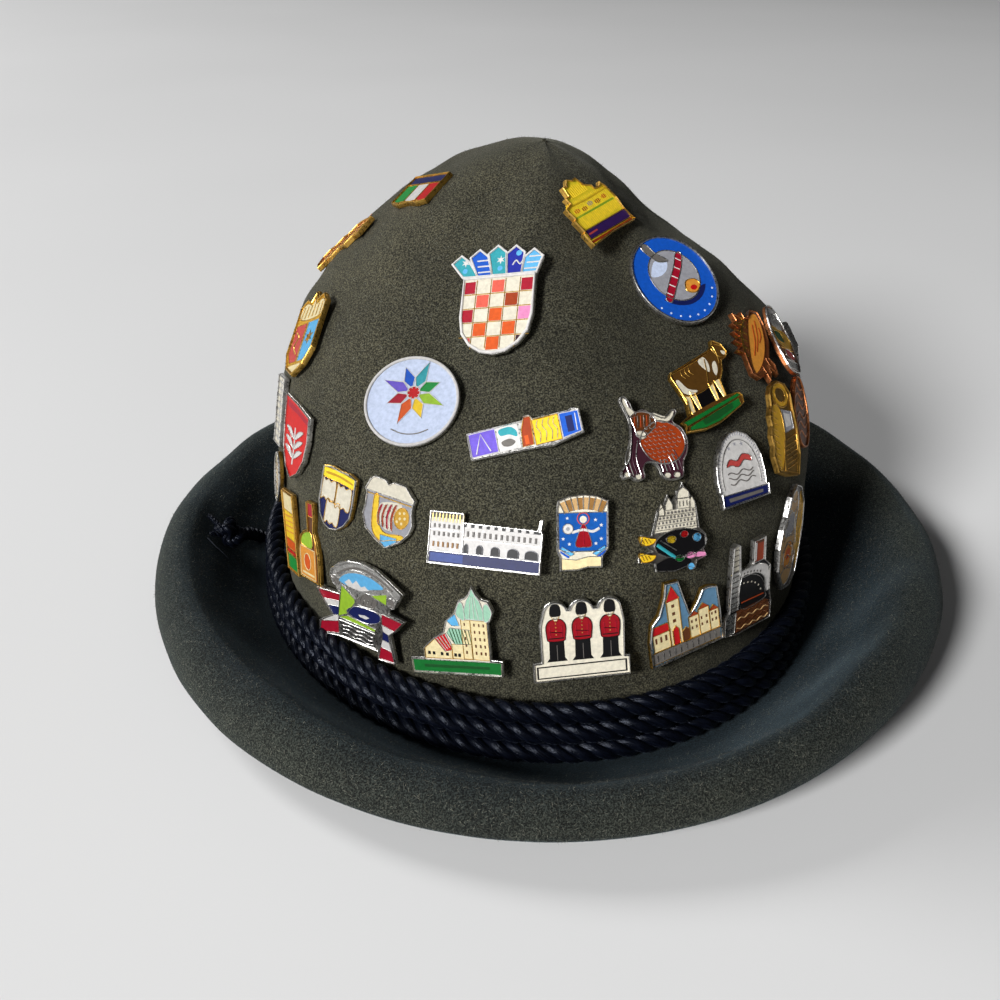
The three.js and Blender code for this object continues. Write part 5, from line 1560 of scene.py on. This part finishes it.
@art("gilt")
def feather(p):
    teeth = 7
    left = [(-4.6 - 1.6 * (k % 2) + 0.15 * k, -13 + 3.6 * k) for k in range(teeth)]
    right = [(5.4 - 1.4 * (k % 2) - 0.25 * k, 9.6 - 3.6 * k) for k in range(teeth)]
    p.plate([*left[::-1], (-1, -14.6), *right[::-1], (1, 14.8)], 0.5, "rust")
    p.line(curve((-1, -13.4), (0.2, -4), (0.4, 5), (1, 13.4)), 0.8)
    for k in range(11):
        y = -11 + 2.2 * k
        metal = "gilt" if k % 2 else "copper"
        p.line([(0.2, y), (-4.2 + 0.15 * k, y + 2)], 0.5, metal)
        p.line([(0.4, y), (4.4 - 0.2 * k, y + 2)], 0.5, metal)


@art("gilt")
def tall_crest(p):
    p.plate([(-8.6, 5), (-8.8, 10), (-5, 12.4), (-2, 11.2), (0, 14.4), (2.4, 11.4), (5.6, 12.6),
             (8.8, 9.6), (8.6, 4), (8.8, -6), (5.6, -11.4), (0, -14.4), (-5.4, -11.6), (-8.8, -6)], 0.8,
            "gold")
    p.cell("cream", blob((-7.4, 6), (-7, 10), (-4.4, 10.8), (-1, 9.6), (0, 12), (1.6, 9.6), (5, 10.8),
                         (7.6, 8.8), (7.2, 5.2), (0, 4.4), steps=3), 0.4)
    p.hatch(6, (-6.4, 5.4), (-5.6, 9.6), (2.5, 0), 0.45, end_step=(2.3, 0))
    p.cell("sky", [(0.6, 3.4), (7.4, 3.4), (7.4, -6), (4.6, -9.6), (0.6, -9.6)], 0.5, "silver")
    p.cell("rose", [(-7.4, 3.4), (-0.4, 3.4), (-0.4, -9.6), (-4.6, -9.6), (-7.4, -6)], 0.4)
    p.cell("gilt", star(3.8, -2, 2.2, 6), 0.25)
    p.line(curve((-6, 1), (-3.6, -1), (-5, -4), (-2, -7)), 0.7)
    p.cell("cream", blob((-4.6, -10.6), (4.6, -10.6), (2, -12.4), (0, -13.2), (-2, -12.4), steps=3), 0.35)


@art("silver")
def silver_bar(p):
    p.plate(box(-5.9, -10.8, 5.9, 10.8), 0.7, "ivory")
    p.hatch(9, (-4.8, 8.6), (4.8, 8.6), (0, -2.15), 0.7)
    p.line([(0, -9.6), (0, 9.6)], 0.7)


@art("silver")
def red_shield(p):
    p.plate([(-9.4, 11.6), (0, 9.8), (9, 7.4), (9.2, 0), (7.4, -6), (3.6, -10.6), (-1.4, -12.9),
             (-5.4, -10), (-8.2, -5), (-9.2, 2)], 0.4, "scarlet")
    p.cell("crimson", [(-8.3, 10), (0, 8.3), (8, 6.1), (8, 4.6), (0, 6.6), (-8.3, 8)])
    p.line(curve((-1.2, -8.6), (-0.8, -3), (-1, 2.6)), 0.8, "white")
    for side in (-1, 1):
        for k in range(3):
            y = -6.6 + 2.9 * k
            p.cell("white", blob((-0.9, y), (-0.9 + side * 2.4, y + 0.6), (-0.9 + side * 6.4, y + 3),
                                 (-0.9 + side * 2.6, y + 2.6), steps=4), 0.25)


@art("gilt")
def pale_oval(p):
    p.plate(oval_at(0, 0, 5, 8.5, 32), 0.7, "cream", "silver")
    p.cell("ivory", oval_at(0, 0, 3, 6, 24), 0.35, "silver")
    p.hatch(6, (-2, 4), (2, 4), (0, -1.6), 0.35)


@art("gilt")
def striped_strip(p):
    p.plate(box(-5.5, -13, 5.5, 13), 0.7, "yellow")
    p.cell("cream", box(-4.7, 6.6, 4.7, 12.2), 0.35)
    p.hatch(4, (-4.4, 4.8), (4.4, 5.6), (0, -1.7), 0.5, ["amber"])
    p.cell("orange", box(-4.7, -5.6, 4.7, -2.4), 0.35)
    p.cell("red", box(-4.7, -7.2, 4.7, -5.8), 0.3)
    p.cell("green", box(-4.7, -12.2, 4.7, -7.6), 0.35)


@art("gilt")
def bottle(p):
    p.plate([(-0.2, 2.6), (-0.2, 11.9), (4.2, 11.9), (4.2, 7), (3.6, 3), (5, 0), (6, -4), (5.8, -12.9),
             (-6.4, -12.9), (-6.6, -4), (-5.2, 0.4), (-2.6, 2.4)], 0.45, "brown")
    p.cell("crimson", box(0.3, 7.4, 3.7, 11.4), 0.3)
    p.cell("brown", box(0.4, 2.6, 3.1, 7.1))
    p.cell("lime", blob((-4.9, -2.4), (-4.4, 0.2), (-2, 1.8), (1.6, 2.2), (1.8, -2.4), steps=4), 0.3)
    p.cell("amber", box(-6, -12.3, 3.2, -3), 0.35, "cream")
    p.cell("orange", oval_at(-1.6, -7.4, 2.1, 2.6), 0.3, "cream")
    p.cell("cream", box(-5.2, -11.6, 2.4, -10.8))
    p.line([(3.6, -12), (3.9, 1)], 0.4, "amber")


# Where each pin sits, as in the solid model: name, angle from the front, crown section and turn.
PINS = [("flag", -81.1, 6.98, 29.5), ("feather", -96.1, 5.7, -17.7), ("tall_crest", -77, 4.5, 33),
        ("silver_bar", -80.9, 3.21, 15.1), ("red_shield", -68, 3.21, 10.7), ("pale_oval", -79.5, 2.25, 4),
        ("striped_strip", -69, 1.8, 14), ("bottle", -60.4, 2.02, 11.8), ("gate_shield", -52.2, 2.79, 2),
        ("boat_shield", -40.1, 2.86, -1.6), ("lake_badge", -45.3, 1.53, 6),
        ("chequered_shield", -20.7, 5.72, 10.6), ("round_star", -38.4, 4.22, 8.9),
        ("block_bar", -12.7, 4.09, 21.4), ("gold_castle", 21.3, 6.89, 4.6),
        ("round_blue", 41.2, 5.65, 7.1), ("shaggy_cow", 11.5, 4, -6.6), ("meadow_cow", 30.6, 4.27, 6.7),
        ("stag", 51.5, 4.54, -45), ("silver_leaf", 64.7, 4.32, -45), ("dark_panel", 85.8, 3.63, 28.4),
        ("white_arch", 30.7, 3.32, -4.2), ("gold_figure", 47, 3.47, -27),
        ("brown_scroll", 56.5, 3.47, -34), ("rough_map", 46.3, 2.05, -13.3), ("ship", 31.4, 1.88, -5.6),
        ("chateau", -20.5, 2.81, 3.1), ("crowned_shield", -3.3, 2.99, 0.2),
        ("domed_church", 12.8, 2.9, -5.1), ("green_spire", -25.4, 1.64, 8.2),
        ("three_guards", -3.3, 1.74, 3.4), ("old_town", 15.7, 1.81, 6.3)]


def make_pin(name, angle, ring, turn):
    """Draws a pin and sets it where its plate is in the solid model."""
    metal, draw = ART[name]
    p = Pin(metal)
    draw(p)
    origin, normal = crown(angle, ring), crown_normal(angle, ring)
    up = unit(np.array([0, 0, 1.0]) - normal * normal[2])
    right = np.cross(up, normal)
    t = math.radians(turn)
    x = right * math.cos(t) + up * math.sin(t)
    y = np.cross(normal, x)
    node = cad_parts["pin_" + name]
    solid = np.array([node.matrix_world @ v.co for v in node.data.vertices]) / MM - SHIFT
    height = (solid - origin) @ normal
    top, foot = height.max(), height.min() - height.max()
    # The post, and the round clutch that holds it inside the crown.
    p.lathe([(POST_RADIUS, foot + 1), (POST_RADIUS, 0.1 - PLATE_THICKNESS)], "gilt", 10)
    p.lathe([(radius, foot + rise) for radius, rise in CLUTCH], "gilt", 20)
    # Painted shade: pins at the left, which face the lamps, have their enamels darkened.
    tone = next((tone for limit, tone in LIT_SIDE_SHADES if angle < limit), 1)
    points = origin + normal * top + np.array(p.points) @ np.stack([x, y, normal])
    piece = new_object(name, place(points), p.faces, [pin_material(m, tone) for m in p.names], p.indices,
                       False)
    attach(piece, "root")
    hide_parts("pin_" + name)


def make_pins():
    for row in PINS:
        make_pin(*row)


# The scene

# The camera that was fitted to the photograph: degrees, metres and the lens in millimetres.
CAMERA_AZIMUTH = -8
CAMERA_ELEVATION = 30.2
CAMERA_DISTANCE = 0.3855
CAMERA_LENS = 39.6
CAMERA_SIDE = -0.0117
CAMERA_TARGET = (-0.004, -0.003, 0.026)
# Lights: name, azimuth and elevation in degrees, size in metres and power in watts.
LIGHTS = [("key", -47, 28, 1.1, 262), ("fill", 10, 40, 3.6, 8), ("rim", -128, 34, 1.5, 90)]
LIGHT_DISTANCE = 4.2
LIGHT_TARGET = 0.05
WORLD_STRENGTH = 0.04
FLOOR_HALF = 6.0


def aim(thing, target):
    thing.rotation_euler = (Vector(target) - thing.location).to_track_quat("-Z", "Y").to_euler()


def link(name, data):
    thing = bpy.data.objects.new(name, data)
    bpy.context.scene.collection.objects.link(thing)
    return thing


def area_light(name, azimuth, elevation, size, power):
    """A soft round light. Azimuth 0 is the hat's front, and its angle grows to the viewer's right."""
    a, e = math.radians(azimuth), math.radians(elevation)
    light = bpy.data.lights.new(name, "AREA")
    light.shape = "DISK"
    light.size = size
    light.energy = power
    thing = link(name, light)
    level = LIGHT_DISTANCE * math.cos(e)
    thing.location = (level * math.sin(a), -level * math.cos(a),
                      LIGHT_DISTANCE * math.sin(e) + LIGHT_TARGET)
    aim(thing, (0, 0, LIGHT_TARGET))


def make_camera():
    camera = bpy.data.cameras.new("camera")
    camera.lens = CAMERA_LENS
    camera.sensor_width = 36.0
    camera.clip_start = 0.01
    thing = link("camera", camera)
    a, e = math.radians(CAMERA_AZIMUTH), math.radians(CAMERA_ELEVATION)
    back = Vector((math.cos(e) * math.sin(a), -math.cos(e) * math.cos(a), math.sin(e)))
    target = Vector((math.cos(a), math.sin(a), 0)) * CAMERA_SIDE + Vector(CAMERA_TARGET)
    thing.location = target + back * CAMERA_DISTANCE
    aim(thing, target)
    bpy.context.scene.camera = thing


def make_floor():
    s = Shader("floor", Roughness=0.9, Specular_IOR_Level=0.2)
    s.set("Base Color", s.ramp(s.noise(2.0, 2), (0.3, (0.64, 0.64, 0.64)), (0.7, (0.67, 0.67, 0.67))))
    corners = [(x, y, 0) for x, y in box(-FLOOR_HALF, -FLOOR_HALF, FLOOR_HALF, FLOOR_HALF)]
    floor = new_object("floor", corners, [(0, 1, 2, 3)], [s.material])


def make_world():
    world = bpy.data.worlds.new("studio")
    world.use_nodes = True
    back = world.node_tree.nodes["Background"]
    back.inputs["Color"].default_value = (1, 1, 1, 1)
    back.inputs["Strength"].default_value = WORLD_STRENGTH
    bpy.context.scene.world = world


make_camera()
make_world()
for light in LIGHTS:
    area_light(*light)
bpy.context.scene.view_settings.view_transform = "Standard"
make_floor()
make_felt()
make_fibres()
cord = cord_material("cord", (0.0016, 0.0022, 0.0048))
make_cord(cord)
make_knot(cord, fibre_material("thread", (0.03, 0.035, 0.05)))
make_pins()
